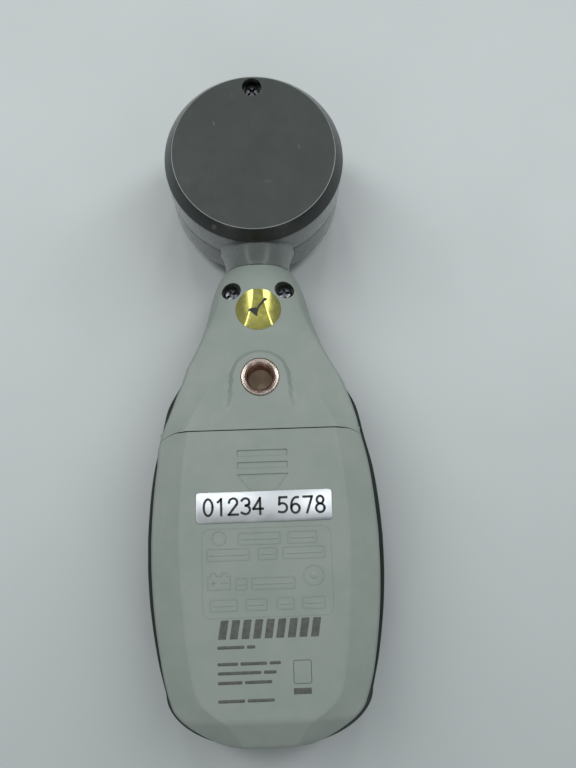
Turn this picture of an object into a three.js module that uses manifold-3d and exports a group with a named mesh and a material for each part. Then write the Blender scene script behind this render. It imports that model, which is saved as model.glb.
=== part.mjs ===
// Handheld digital light meter with a swivelling round sensor head.
// Millimetres, +Z up. The meter lies face down: its front face and the sensor dome touch z = 0,
// the rear face looks up, and +Y points from the battery door to the head.
import * as THREE from 'three';
import { mergeVertices } from 'three/addons/utils/BufferGeometryUtils.js';
import Module from 'manifold-3d';

const wasm = await Module();
wasm.setup();

// ---------- Driving dimensions ----------
const GAP = 0.3; // air between neighbouring pieces
const SPLIT_Z = 15; // plane where the two body shells meet
const REAR_EDGE_Z = SPLIT_Z + GAP / 2; // rim of the rear shell
const FRONT_EDGE_Z = SPLIT_Z - GAP / 2; // rim of the front shell
const AXIS_Z = 16; // height of the swivel axis, which runs along Y at x = 0
const BODY_END_Y = -82.5;
const REAR_END_Y = -81.5; // the rear shell and door stop a little short of the front shell
const NECK_END_Y = 33.4; // the body shells stop here, around the neck

const REAR_Z = 32; // rear disc of the head
const PLATEAU_Z = 31.5; // flat rear face of the body
const HEAD_Y = 60; // centre of the head drum
const HEAD_R = 22.5;
const DISC_R = 20.4; // flat rear disc inside the chamfer
const CHAMFER_Z = 28.6;
const HEAD_SPLIT_Z = 18;
const HEAD_FACE_Z = 5; // front face of the head around the dome
const HEAD_WALL = 1.8;
const NECK_R = 8.2;
const FLARE_R = 9.6;
const LEAD_BORE_R = 2.2;
const SPIGOT_R = 6.3; // part of the neck that turns inside the body shells

const BUSH_Y = 3;
const BUSH_R = 4.55;
const BUSH_BORE_R = 3.2; // quarter-inch tripod thread
const BUSH_FLOOR_Z = 24.6;
const NECK_SCREW = { x: 6.6, y: 26.1 };
const CASE_SCREW = { x: 11.2, y: -74.2 };
const HEAD_SCREW_Y = HEAD_Y + 17.5;
const COUNTERBORE_R = 2.45;
const SCREW_HOLE_R = 1.3;

const SEAM_Y = -9.5; // top edge of the battery door
const DOOR_TOP_X = 19; // where the top seam starts to curve down
const BATTERY = { width: 26.5, length: 48.5, height: 17.5, bottom: 11.2, y: -45.4 };
const TRAY = { width: 31.2, inner: 28, y0: -71.6, y1: -13.4, wall: 1.6, floor: 9.3, rim: 27.6 };
const LEDGE = { bottom: 16.5, top: 18.1, edgeX: 21.5 }; // rim of the tray that the door slides along
const RAIL = { y0: -58, y1: -22, innerX: 20 };
const EMBOSS = { depth: 0.25, width: 11.4, length: 1.3, bars: [-14.9, -17.7] };
const ARROW = { halfWidth: 5.8, top: -19.8, tip: -27 };
// Raised flat around the bush: a half ellipse that flares to a wide foot at the seam.
const ARCH = { footX: 18, flare: [14.6, -7.3], waist: [[10.5, -4.6], [7.4, -6.4]], radiusX: 6.7, radiusY: 6.3,
  bottom: 29.4 };
const STICKER = { radius: 5.55, y: 20.6, top: 0.55 };
const LABEL = { width: 31, length: 7, radius: 0.9, x: 0.1, y: -27.1 };
const PAD = { width: 22, length: 34, y: -47, bottom: 28.95, top: 29.4 };

const WINDOW = { width: 36, length: 22, y: -27 };
const BOARD_Z = 5.8;
const BOARD_T = 1.6;
const BOARD_SCREWS = [[-17, -9.5], [17, -9.5], [0, -67]];
const DOME = { baseR: 11.2, skin: 1.2, flangeR: 13.5, hole: 11.5 };
const SENSOR_BOARD_Z = 14.6;
const SENSOR_POST_X = 16.8;
const LEAD_R = 0.9;
const KEY = { rx: 6.6, ry: 4.2, face: 0.25, top: 4, travel: 0.8 };
const KEYS = [['power', -11, -48], ['hold', 11, -48], ['range', -11, -61], ['units', 11, -61]];
const RECESS = { width: 42, length: 26, radius: 4, y: -54.5, depth: 0.7 };

// Body outline: half width of the front shell along Y, then the round bottom end.
const HALF_WIDTHS = [[-70, 24.6], [-62, 26.55], [-50, 28.35], [-38, 29], [-27, 28.55], [-17.5, 27.45],
  [-9.3, 25.6], [-3, 24.3], [0, 23.25], [5, 20.5], [12, 17.15], [20, 13.9], [27, 11.9], [31.5, 9.9],
  [33.4, 8.3]];
const ROUND_END_Y = -70;
// How far the front shell stands out past the rear shell.
const RIM_STEPS = [[-81.5, 1.8], [-80.8, 3.8], [-79.4, 4.65], [-78, 4.05], [-76, 3.3], [-73.5, 2.2],
  [-70, 1.4], [-60, 1.2], [-19, 1.2], [-14.5, 0.7], [-9, 0.7], [-2, 1.3], [3.5, 0]];
const REAR_HEIGHTS = [[-73.3, 31.5], [-9, 31.5], [-6, 31.1], [-2, 30.7], [5, 30.25], [12, 29.65], [20, 28.35],
  [27, 26.4], [33.4, 24]];
const REAR_END_HEIGHTS = [[-73.3, 31.5], [-79.4, 28], [-81.5, 15.4]]; // chamfer and wall of the bottom end
const REAR_FLATS = [[-81.5, 2], [-78, 5], [-76, 7], [-73.3, 10.5], [-71, 13.3], [-67, 16], [-60, 17.5],
  [-50, 18.5], [-38, 19.3], [-25, 19.4], [-12, 18.6], [0, 12.4], [12, 5.2], [22, 1.6], [33.4, 0.6]];
// Side of a rear section as shares of its width and height: a steep wall, then a chamfer up to the flat.
const REAR_SIDE = [[1, 0], [0.937, 0.28], [0.874, 0.56], [0.81, 0.842], [0.54, 0.895], [0.27, 0.947], [0, 1]];
const REAR_SIDE_FADE = [[12, 1], [33, 0]]; // from the chamfered section to the round one
const FRONT_HEIGHTS = [[-68, 0], [0, 0], [8, 0.9], [17, 3], [26, 5.7], [33.4, 8]];
const BEVEL_Y = -73.3; // bottom edge of the rear plateau
const STATIONS = [-82.5, -81.5, -80.8, -79.4, -78, -76, -73.3, -71, -67, -60, -50, -40, -30, -22, -17, -12,
  -8, -4, -1, 2, 5, 10, 16, 22, 27, 31.5, 33.4];
const LIP = 0.4; // height that is left of a shell at the bottom end
const SECTION_STEPS = 6;
// The hollow of a shell is its own form, scaled about a point on the parting plane.
const HOLLOW = { centreY: -38, x: 0.936, y: 0.96, z: 0.888, lastStation: 32, overrun: 0.6 };

// ---------- Materials ----------
const material = (color, roughness, metalness = 0) =>
  new THREE.MeshStandardMaterial({ color, roughness, metalness });
const LIGHT_GREY = material('#8d968f', 0.55);
const DARK_GREY = material('#2f3735', 0.5);
const HEAD_GREY = material('#4c5450', 0.4);
const WHITE = material('#e9e8e2', 0.6);
const BLACK_STEEL = material('#15171a', 0.35, 0.8);
const BRIGHT_STEEL = material('#b9bcc0', 0.3, 1);
const COPPER_NICKEL = material('#b48f86', 0.25, 1);
const GOLD_FOIL = material('#c8bd4a', 0.2, 0.9);
const SILVER_FOIL = material('#d8dadc', 0.35, 0.7);
const CLEAR = material('#c9d3d6', 0.1);
const GREEN_BOARD = material('#1f5a3a', 0.5);
const BLACK_PLASTIC = material('#1a1b1c', 0.5);
const RUBBER = material('#101010', 0.8);
const FOAM = material('#3a3c3f', 0.95);
const LCD_GLASS = material('#9aa593', 0.2);
const RED_WIRE = material('#b3231d', 0.5);
const KEY_GREY = material('#6f7a76', 0.6);
const CELL_JACKET = material('#2c3e5c', 0.35);

const meter = new THREE.Group();

// ---------- Helpers ----------

// Welds a closed geometry, drops empty triangles and turns its faces outwards.
function closed(geometry) {
  const bare = geometry.clone();
  bare.deleteAttribute('normal');
  bare.deleteAttribute('uv');
  const welded = mergeVertices(bare, 1e-4);
  const position = welded.attributes.position;
  const corners = [new THREE.Vector3(), new THREE.Vector3(), new THREE.Vector3()];
  const kept = [];
  let volume = 0;
  for (let i = 0; i < welded.index.count; i += 3) {
    const face = [0, 1, 2].map((k) => welded.index.getX(i + k));
    if (new Set(face).size < 3) continue;
    face.forEach((vertex, k) => corners[k].fromBufferAttribute(position, vertex));
    volume += corners[0].dot(corners[1].clone().cross(corners[2]));
    kept.push(...face);
  }
  if (volume < 0) kept.reverse();
  welded.setIndex(kept);
  return welded;
}

function solid(geometry) {
  const welded = closed(geometry);
  return new wasm.Manifold(new wasm.Mesh({
    numProp: 3,
    vertProperties: new Float32Array(welded.attributes.position.array),
    triVerts: new Uint32Array(welded.index.array),
  }));
}

function toGeometry(shape) {
  const mesh = shape.getMesh();
  const geometry = new THREE.BufferGeometry();
  geometry.setAttribute('position', new THREE.BufferAttribute(new Float32Array(mesh.vertProperties), 3));
  geometry.setIndex(Array.from(mesh.triVerts));
  return geometry;
}

const join = (first, ...rest) => rest.reduce((shape, next) => shape.add(next), first);
const cut = (first, ...rest) => rest.reduce((shape, next) => shape.subtract(next), first);

// Adds one named piece, given as a three.js geometry or as a cut solid.
function piece(name, shape, look) {
  const geometry = shape.isBufferGeometry ? closed(shape) : toGeometry(shape);
  const flat = geometry.toNonIndexed();
  flat.computeVertexNormals();
  const mesh = new THREE.Mesh(flat, look);
  mesh.name = name;
  meter.add(mesh);
}

const box = (width, length, height, x, y, bottom) =>
  new THREE.BoxGeometry(width, length, height).translate(x, y, bottom + height / 2);

// Upright round bar from z = bottom to z = top.
const bar = (radius, bottom, top, x, y, sides = 12) =>
  new THREE.CylinderGeometry(radius, radius, top - bottom, sides)
    .rotateX(Math.PI / 2)
    .translate(x, y, (top + bottom) / 2);

// Round bar along the swivel axis.
const axisBar = (radius, y0, y1, sides = 32) =>
  new THREE.CylinderGeometry(radius, radius, y1 - y0, sides).translate(0, (y0 + y1) / 2, AXIS_Z);

const profile = (points) => points.map(([r, h]) => new THREE.Vector2(r, h));

// Turned about an upright axis; a profile point is [radius, z].
const turned = (points, x, y, sides = 32) =>
  new THREE.LatheGeometry(profile(points), sides).rotateX(Math.PI / 2).translate(x, y, 0);

// Turned about the swivel axis; a profile point is [radius, y].
const turnedOnAxis = (points, sides = 28) =>
  new THREE.LatheGeometry(profile(points), sides).translate(0, 0, AXIS_Z);

// A shape in XY raised from z = bottom to z = top.
const raised = (shape, bottom, top, curveSegments = 8) =>
  new THREE.ExtrudeGeometry(shape, { depth: top - bottom, bevelEnabled: false, curveSegments })
    .translate(0, 0, bottom);

function roundedRectangle(width, length, radius, x, y) {
  const shape = new THREE.Shape();
  const left = x - width / 2;
  const right = x + width / 2;
  const low = y - length / 2;
  const high = y + length / 2;
  shape.moveTo(left + radius, low);
  shape.lineTo(right - radius, low);
  shape.absarc(right - radius, low + radius, radius, -Math.PI / 2, 0, false);
  shape.lineTo(right, high - radius);
  shape.absarc(right - radius, high - radius, radius, 0, Math.PI / 2, false);
  shape.lineTo(left + radius, high);
  shape.absarc(left + radius, high - radius, radius, Math.PI / 2, Math.PI, false);
  shape.lineTo(left, low + radius);
  shape.absarc(left + radius, low + radius, radius, Math.PI, 1.5 * Math.PI, false);
  return shape;
}

// An insulated wire through the given points.
function wire(points, radius, steps = 14) {
  const section = new THREE.Shape().absarc(0, 0, radius, 0, 2 * Math.PI, false);
  const path = new THREE.CatmullRomCurve3(points.map((point) => new THREE.Vector3(...point)));
  return new THREE.ExtrudeGeometry(section, { extrudePath: path, steps, curveSegments: 3 });
}

// Value at y of a smooth curve through [y, value] points.
function through(points, y) {
  const last = points.length - 1;
  const slope = (k) => {
    const before = points[Math.max(k - 1, 0)];
    const after = points[Math.min(k + 1, last)];
    return (after[1] - before[1]) / (after[0] - before[0]);
  };
  const next = points.findIndex((point) => point[0] >= y);
  const i = THREE.MathUtils.clamp((next < 0 ? last : next) - 1, 0, last - 1);
  const step = points[i + 1][0] - points[i][0];
  const t = THREE.MathUtils.clamp((y - points[i][0]) / step, 0, 1);
  const rise = step * (slope(i) * t * (1 - t) ** 2 - slope(i + 1) * t * t * (1 - t));
  return points[i][1] + (points[i + 1][1] - points[i][1]) * t * t * (3 - 2 * t) + rise;
}

// ---------- Body form ----------

// Falls from 1 to 0 as t goes from 0 to 1, ending square to the edge.
const roundEnd = (t, power, root) => (1 - THREE.MathUtils.clamp(t, 0, 1) ** power) ** (1 / root);

// Value at t on the straight line through two [t, value] points, held outside of them.
const between = ([t0, v0], [t1, v1], t) => v0 + (v1 - v0) * THREE.MathUtils.clamp((t - t0) / (t1 - t0), 0, 1);

function outline(y, length) {
  if (y >= ROUND_END_Y) return through(HALF_WIDTHS, y);
  return Math.max(1.2, HALF_WIDTHS[0][1] * roundEnd((ROUND_END_Y - y) / length, 1.9, 2.2));
}

const rimStep = (y) => (y > 3.5 ? 0 : Math.max(0, through(RIM_STEPS, y)));
const frontWidth = (y) => outline(y, ROUND_END_Y - BODY_END_Y);
const rearWidth = (y) => Math.max(1, outline(y, ROUND_END_Y - REAR_END_Y) - rimStep(y));

function rearHeight(y) {
  if (y >= BEVEL_Y) return Math.min(PLATEAU_Z, through(REAR_HEIGHTS, y));
  const [top, corner, foot] = REAR_END_HEIGHTS;
  return y > corner[0] ? between(top, corner, y) : between(corner, foot, y);
}

function frontHeight(y) {
  const start = FRONT_HEIGHTS[0][0];
  if (y >= start) return Math.max(0, through(FRONT_HEIGHTS, y));
  return (SPLIT_Z - LIP) * (1 - roundEnd((start - y) / (start - BODY_END_Y), 2, 2));
}

// Half of a body section: from the parting plane up to (or down to) the flat, and back.
function halfSection(halfWidth, flat, base, crown, power) {
  const side = [];
  for (let i = 0; i <= SECTION_STEPS; i += 1) {
    const angle = (i / SECTION_STEPS) * (Math.PI / 2);
    const x = flat + (halfWidth - flat) * Math.cos(angle) ** (2 / power);
    side.push([x, base + (crown - base) * Math.sin(angle) ** (2 / power)]);
  }
  return side.concat(side.map(([x, z]) => [-x, z]).reverse());
}

function rearSection(y) {
  const halfWidth = rearWidth(y);
  const flat = Math.min(through(REAR_FLATS, y), 0.7 * halfWidth);
  const round = halfSection(halfWidth, flat, REAR_EDGE_Z, rearHeight(y), 2.1);
  const fade = between(...REAR_SIDE_FADE, y);
  const side = REAR_SIDE.map(([reach, rise]) => [
    flat + (halfWidth - flat) * reach,
    REAR_EDGE_Z + (rearHeight(y) - REAR_EDGE_Z) * rise,
  ]);
  const bent = side.concat(side.map(([x, z]) => [-x, z]).reverse());
  return round.map(([x, z], i) => [x + (bent[i][0] - x) * fade, z + (bent[i][1] - z) * fade]);
}

function frontSection(y) {
  const halfWidth = frontWidth(y);
  const flat = Math.max(0.5, Math.min(halfWidth - 6, 0.75 * halfWidth));
  return halfSection(halfWidth, flat, FRONT_EDGE_Z, frontHeight(y), 2.3);
}

// Closed skin through one section at each station, with a fan over each end.
function loft(stations, section) {
  const rings = stations.map((y) => section(y).map(([x, z]) => [x, y, z]));
  const count = rings[0].length;
  const points = rings.flat();
  const index = [];
  for (let ring = 0; ring < rings.length - 1; ring += 1) {
    for (let i = 0; i < count; i += 1) {
      const a = ring * count + i;
      const b = ring * count + ((i + 1) % count);
      index.push(a, b, a + count, b, b + count, a + count);
    }
  }
  const lastRing = (rings.length - 1) * count;
  for (let i = 1; i < count - 1; i += 1) {
    index.push(0, i + 1, i);
    index.push(lastRing, lastRing + i, lastRing + i + 1);
  }
  const geometry = new THREE.BufferGeometry();
  geometry.setAttribute('position', new THREE.BufferAttribute(new Float32Array(points.flat()), 3));
  geometry.setIndex(index);
  return geometry;
}

const hollowStations = [...STATIONS.filter((y) => y < HOLLOW.lastStation), HOLLOW.lastStation];

const drawnIn = (geometry) => solid(geometry
  .translate(0, -HOLLOW.centreY, -SPLIT_Z)
  .scale(HOLLOW.x, HOLLOW.y, HOLLOW.z)
  .translate(0, HOLLOW.centreY, SPLIT_Z));

// The room inside a shell, with a slab across the parting plane that opens it.
function hollow(section, halfWidth) {
  const slab = (y) => {
    const x = halfWidth(y);
    const low = SPLIT_Z - HOLLOW.overrun;
    const high = SPLIT_Z + HOLLOW.overrun;
    return [[x, low], [x, high], [-x, high], [-x, low]];
  };
  return join(drawnIn(loft(hollowStations, section)), drawnIn(loft(hollowStations, slab)));
}

const rearForm = solid(loft(STATIONS.filter((y) => y >= REAR_END_Y), rearSection));
const frontForm = solid(loft(STATIONS, frontSection));
const rearHollow = hollow(rearSection, rearWidth);
const frontHollow = hollow(frontSection, frontWidth);
const neckBearing = solid(axisBar(SPIGOT_R + GAP, 29, NECK_END_Y + 1));

// Everything below the door seam, which curves down to the parting plane at both sides.
function doorRegion(seamY) {
  const shape = new THREE.Shape();
  shape.moveTo(-31, -90);
  shape.lineTo(31, -90);
  shape.lineTo(31, seamY - 14);
  shape.quadraticCurveTo(26, seamY - 0.2, DOOR_TOP_X, seamY);
  shape.lineTo(-DOOR_TOP_X, seamY);
  shape.quadraticCurveTo(-26, seamY - 0.2, -31, seamY - 14);
  return solid(raised(shape, 10, 36));
}

// ---------- Fasteners ----------

const SCREW = { shankR: 1, headHeight: 1.4, slotWidth: 0.5, slotDepth: 0.9 };

// Cross-head screw standing on its seat, shank pointing down.
function screw(seatZ, x, y, headR, length) {
  const crown = seatZ + SCREW.headHeight;
  const tip = seatZ - length;
  const form = turned([[0, tip], [SCREW.shankR, tip + 0.6], [SCREW.shankR, seatZ], [headR, seatZ],
    [headR, crown - 0.4], [headR * 0.7, crown], [0, crown]], x, y, 8);
  const slotLength = headR * 1.25;
  return cut(
    solid(form),
    solid(box(slotLength, SCREW.slotWidth, 2, x, y, crown - SCREW.slotDepth)),
    solid(box(SCREW.slotWidth, slotLength, 2, x, y, crown - SCREW.slotDepth)),
  );
}

// ---------- Body shells ----------

const BUSH_BOSS_R = 6.6;

// The same piece on the left and on the right of the centre plane.
const bothSides = (make) => [-1, 1].map((side) => solid(make(side)));

// Raised flat around the bush, which widens to meet the plateau of the door.
function archPlateau() {
  const foot = SEAM_Y + GAP;
  const [flareX, flareY] = ARCH.flare;
  const [[lowX, lowY], [highX, highY]] = ARCH.waist;
  const shape = new THREE.Shape();
  shape.moveTo(-ARCH.footX, foot);
  shape.lineTo(ARCH.footX, foot);
  shape.lineTo(flareX, flareY);
  shape.bezierCurveTo(lowX, lowY, highX, highY, ARCH.radiusX, BUSH_Y);
  shape.absellipse(0, BUSH_Y, ARCH.radiusX, ARCH.radiusY, 0, Math.PI, false);
  shape.bezierCurveTo(-highX, highY, -lowX, lowY, -flareX, flareY);
  return solid(raised(shape, ARCH.bottom, PLATEAU_Z));
}

// Plate around the battery tray, inside the walls of the door.
function trayLedge() {
  const edgeX = (y) => Math.min(LEDGE.edgeX, rearWidth(y - 1) - 3.6);
  const stations = [TRAY.y1, -20, -60, -70, -74, -76.8];
  const shape = new THREE.Shape();
  shape.moveTo(-edgeX(TRAY.y1), TRAY.y1);
  stations.slice(1).forEach((y) => shape.lineTo(-edgeX(y), y));
  stations.slice().reverse().forEach((y) => shape.lineTo(edgeX(y), y));
  return solid(raised(shape, LEDGE.bottom, LEDGE.top));
}

// Tray that holds the battery, with the slot for its leads and the holes for the case screws.
function batteryTray() {
  const length = TRAY.y1 - TRAY.y0;
  const middle = (TRAY.y0 + TRAY.y1) / 2;
  const can = box(TRAY.width, length, TRAY.rim - TRAY.floor, 0, middle, TRAY.floor);
  const bridge = box(28, 6.4, LEDGE.top - REAR_EDGE_Z, 0, SEAM_Y - 0.9, REAR_EDGE_Z);
  const pocket = box(TRAY.inner, length - 2 * TRAY.wall, 30, 0, middle, TRAY.floor + TRAY.wall);
  const leadNotch = box(10, 6, 12, 0, TRAY.y1, 19);
  const leadSlot = box(14, 3, 8, 0, -11.6, 12);
  return cut(
    join(trayLedge(), solid(can), solid(bridge)),
    ...[pocket, leadNotch, leadSlot].map(solid),
    ...bothSides((side) => bar(SCREW_HOLE_R, 10, 20, side * CASE_SCREW.x, CASE_SCREW.y)),
  );
}

function buildRearShell() {
  const web = box(60, 3.2, LEDGE.top - REAR_EDGE_Z, 0, SEAM_Y + 2, REAR_EDGE_Z);
  const inForm = [
    ...bothSides((side) => bar(3.3, 19.9, 23.5, side * NECK_SCREW.x, NECK_SCREW.y)),
    ...bothSides((side) => bar(2.3, REAR_EDGE_Z, 20.5, side * NECK_SCREW.x, NECK_SCREW.y)),
    solid(web),
  ].map((shape) => shape.intersect(rearForm));
  return cut(
    join(
      cut(rearForm, rearHollow, neckBearing, doorRegion(SEAM_Y + GAP)),
      archPlateau(),
      solid(bar(BUSH_BOSS_R, 20.5, 31, 0, BUSH_Y, 28)),
      batteryTray(),
      ...inForm,
    ),
    solid(bar(BUSH_R + GAP, 20, 33, 0, BUSH_Y, 28)),
    ...bothSides((side) => bar(COUNTERBORE_R, 20.6, 30, side * NECK_SCREW.x, NECK_SCREW.y, 20)),
    ...bothSides((side) => bar(SCREW_HOLE_R, 10, 22, side * NECK_SCREW.x, NECK_SCREW.y)),
  );
}

function buildFrontShell() {
  const posts = [
    ...BOARD_SCREWS.map(([x, y]) => solid(bar(2.2, 1, BOARD_Z - GAP, x, y))),
    ...bothSides((side) => bar(2.3, 5, FRONT_EDGE_Z, side * NECK_SCREW.x, NECK_SCREW.y)),
    ...bothSides((side) => bar(2.4, 3, FRONT_EDGE_Z, side * CASE_SCREW.x, CASE_SCREW.y)),
  ].map((post) => post.intersect(frontForm));
  const postHoles = [
    ...BOARD_SCREWS.map(([x, y]) => solid(bar(SCREW_HOLE_R, 2.4, 8, x, y))),
    ...bothSides((side) => bar(SCREW_HOLE_R, 6.6, 16, side * NECK_SCREW.x, NECK_SCREW.y)),
    ...bothSides((side) => bar(SCREW_HOLE_R, 6, 16, side * CASE_SCREW.x, CASE_SCREW.y)),
  ];
  const windowHole = raised(roundedRectangle(WINDOW.width, WINDOW.length, 1.5, 0, WINDOW.y), -1, 4, 3);
  const recess = raised(
    roundedRectangle(RECESS.width, RECESS.length, RECESS.radius, 0, RECESS.y), -1, RECESS.depth, 3);
  const keyHoles = KEYS.map(([, x, y]) => keyForm(x, y, GAP, -1, 4));
  return cut(
    join(cut(frontForm, frontHollow, neckBearing), ...posts),
    ...[windowHole, recess, ...keyHoles].map(solid),
    ...postHoles,
  );
}

piece('rear_shell', buildRearShell(), LIGHT_GREY);
piece('front_shell', buildFrontShell(), DARK_GREY);

for (const [side, name] of [[-1, 'left'], [1, 'right']]) {
  piece(`neck_screw_${name}`, screw(20.9, side * NECK_SCREW.x, NECK_SCREW.y, 2, 13), BLACK_STEEL);
  piece(`case_screw_${name}`, screw(LEDGE.top + GAP, side * CASE_SCREW.x, CASE_SCREW.y, 2, 11), BLACK_STEEL);
}

// ---------- Tripod bush ----------

const bushTop = PLATEAU_Z - 0.1;
piece('tripod_bush', turned([[0, 22.4], [BUSH_R, 22.4], [BUSH_R, bushTop - 0.4], [BUSH_R - 0.3, bushTop],
  [3.75, bushTop], [BUSH_BORE_R, bushTop - 0.7], [BUSH_BORE_R, BUSH_FLOOR_Z + 0.5],
  [0, BUSH_FLOOR_Z]], 0, BUSH_Y, 28), COPPER_NICKEL);

// ---------- Inspection sticker: a foil disc that follows the curved rear face ----------

const stickerDisc = solid(bar(STICKER.radius, 20, 34, 0, STICKER.y, 28));
piece('inspection_sticker', cut(
  stickerDisc.intersect(rearForm.translate([0, 0, STICKER.top])),
  rearForm.translate([0, 0, GAP]),
), GOLD_FOIL);

// ---------- Battery door ----------

// Rails along both sides of the door that run under the ledge of the tray.
function doorRails() {
  const length = RAIL.y1 - RAIL.y0;
  const middle = (RAIL.y0 + RAIL.y1) / 2;
  return solid(box(60, length, LEDGE.bottom - GAP - REAR_EDGE_Z, 0, middle, REAR_EDGE_Z))
    .intersect(rearForm)
    .subtract(solid(box(2 * RAIL.innerX, length + 2, 10, 0, middle, 10)));
}

function buildDoor() {
  const floor = PLATEAU_Z - EMBOSS.depth;
  const bars = EMBOSS.bars.map((y) =>
    raised(roundedRectangle(EMBOSS.width, EMBOSS.length, 0.1, 0, y), floor, 34, 1));
  const arrow = new THREE.Shape();
  arrow.moveTo(-ARROW.halfWidth, ARROW.top);
  arrow.lineTo(0, ARROW.tip);
  arrow.lineTo(ARROW.halfWidth, ARROW.top);
  const shell = cut(rearForm, rearHollow).intersect(doorRegion(SEAM_Y));
  return cut(join(shell, doorRails()), ...[...bars, raised(arrow, floor, 34, 1)].map(solid));
}

piece('battery_door', buildDoor(), LIGHT_GREY);
piece('serial_label', raised(roundedRectangle(LABEL.width, LABEL.length, LABEL.radius, LABEL.x, LABEL.y),
  PLATEAU_Z + GAP, REAR_Z, 3), SILVER_FOIL);
piece('battery_pad', raised(roundedRectangle(PAD.width, PAD.length, 1.5, 0, PAD.y),
  PAD.bottom, PAD.top, 2), FOAM);

// ---------- Head ----------

// Half width of the neck along Y. Below the axis it is round.
const NECK_WIDTHS = [[33.7, NECK_R], [35.2, 8.3], [36.6, 8.6], [37.8, 9.05], [39, FLARE_R], [40.2, FLARE_R]];
const NECK_STATIONS = [33.7, 34.5, 35.3, 36.1, 36.8, 37.5, 38.2, 39, 40.2];
const NECK_SIDES = 28;
// The top of the neck sweeps up from the body shells to the chamfer of the head.
const NECK_SWEEP = { y: 33.5, run: 4, rise: 4.2, power: 1.3 };

function neckSection(y) {
  const t = THREE.MathUtils.clamp((y - NECK_SWEEP.y) / NECK_SWEEP.run, 0, 1);
  const halfWidth = through(NECK_WIDTHS, y);
  const above = NECK_R + NECK_SWEEP.rise * t ** NECK_SWEEP.power;
  return Array.from({ length: NECK_SIDES }, (_, i) => {
    const angle = (i * 2 * Math.PI) / NECK_SIDES;
    const lift = Math.sin(angle) * (i < NECK_SIDES / 2 ? above : halfWidth);
    return [halfWidth * Math.cos(angle), AXIS_Z + lift];
  });
}

function buildHeadRearShell() {
  const rim = HEAD_SPLIT_Z + GAP / 2;
  const innerR = HEAD_R - HEAD_WALL;
  const ceiling = REAR_Z - HEAD_WALL;
  const cup = turned([[0, REAR_Z], [DISC_R, REAR_Z], [HEAD_R, CHAMFER_Z], [HEAD_R, rim], [innerR, rim],
    [innerR, CHAMFER_Z - 0.7], [DISC_R - 1.2, ceiling], [0, ceiling]], 0, HEAD_Y, 48);
  const spigot = turnedOnAxis([[LEAD_BORE_R, 20.5], [SPIGOT_R, 20.5], [SPIGOT_R, 23], [3.9, 23], [3.9, 29.2],
    [SPIGOT_R, 29.2], [SPIGOT_R, 30.6], [5, 30.6], [5, 32.4], [SPIGOT_R, 32.4], [SPIGOT_R, 34],
    [LEAD_BORE_R, 34], [LEAD_BORE_R, 20.5]]);
  const neck = loft(NECK_STATIONS, neckSection);
  return cut(
    join(solid(cup), solid(spigot), solid(neck), solid(bar(3.1, HEAD_SPLIT_Z + 0.5, 31, 0, HEAD_SCREW_Y))),
    solid(bar(COUNTERBORE_R, 28.2, 34, 0, HEAD_SCREW_Y, 20)),
    solid(bar(SCREW_HOLE_R, 17, 30, 0, HEAD_SCREW_Y)),
    solid(axisBar(LEAD_BORE_R, 33.6, 41, 20)),
  );
}

function buildHeadFrontShell() {
  const rim = HEAD_SPLIT_Z - GAP / 2;
  const innerR = HEAD_R - HEAD_WALL;
  const ceiling = HEAD_FACE_Z + HEAD_WALL;
  const bezel = turned([[DOME.hole, HEAD_FACE_Z], [HEAD_R - 1.1, HEAD_FACE_Z], [HEAD_R, HEAD_FACE_Z + 1.3],
    [HEAD_R, rim], [innerR, rim], [innerR, ceiling], [DOME.hole, ceiling], [DOME.hole, HEAD_FACE_Z]],
  0, HEAD_Y, 48);
  const room = NECK_WIDTHS.map(([y, halfWidth]) => [halfWidth + GAP, y]);
  const neckRoom = turnedOnAxis([[0, 33], [NECK_R + GAP, 33], ...room, [FLARE_R + GAP, 40.5], [0, 40.5]]);
  const posts = [
    solid(bar(2.8, 6, HEAD_SPLIT_Z - 0.5, 0, HEAD_SCREW_Y)),
    ...bothSides((side) => bar(2, 6, SENSOR_BOARD_Z - GAP, side * SENSOR_POST_X, HEAD_Y)),
  ];
  const holes = [
    solid(bar(SCREW_HOLE_R, 9, 20, 0, HEAD_SCREW_Y)),
    ...bothSides((side) => bar(SCREW_HOLE_R, 8, 16, side * SENSOR_POST_X, HEAD_Y)),
  ];
  return cut(join(solid(bezel), ...posts), solid(neckRoom), ...holes);
}

piece('head_rear_shell', buildHeadRearShell(), HEAD_GREY);
piece('head_front_shell', buildHeadFrontShell(), HEAD_GREY);
piece('head_screw', screw(28.5, 0, HEAD_SCREW_Y, 2, 17), BLACK_STEEL);

// O-ring that gives the swivel its friction.
const O_RING = { radius: 5.8, cord: 0.5, y: 31.5 };
piece('swivel_o_ring', new THREE.TorusGeometry(O_RING.radius, O_RING.cord, 6, 18)
  .rotateX(Math.PI / 2)
  .translate(0, O_RING.y, AXIS_Z), RUBBER);

// ---------- Sensor ----------

// White dome: a spherical cap with a flange behind the front shell.
function buildDome() {
  const { baseR, skin, flangeR } = DOME;
  const baseZ = HEAD_FACE_Z + HEAD_WALL + GAP;
  const sphereR = (baseR ** 2 + baseZ ** 2) / (2 * baseZ);
  const arc = (radius, limit, steps) => Array.from({ length: steps + 1 }, (_, i) => {
    const r = (limit * i) / steps;
    return [r, sphereR - Math.sqrt(radius ** 2 - r ** 2)];
  });
  const flange = [[flangeR, baseZ], [flangeR, baseZ + skin], [baseR - 1.6, baseZ + skin]];
  const inside = arc(sphereR - skin, baseR - 2.2, 4).reverse();
  return turned([...arc(sphereR, baseR, 6), ...flange, ...inside], 0, HEAD_Y, 28);
}

const ring = (inner, outer, bottom, top, sides) =>
  turned([[inner, bottom], [outer, bottom], [outer, top], [inner, top], [inner, bottom]], 0, HEAD_Y, sides);

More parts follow.
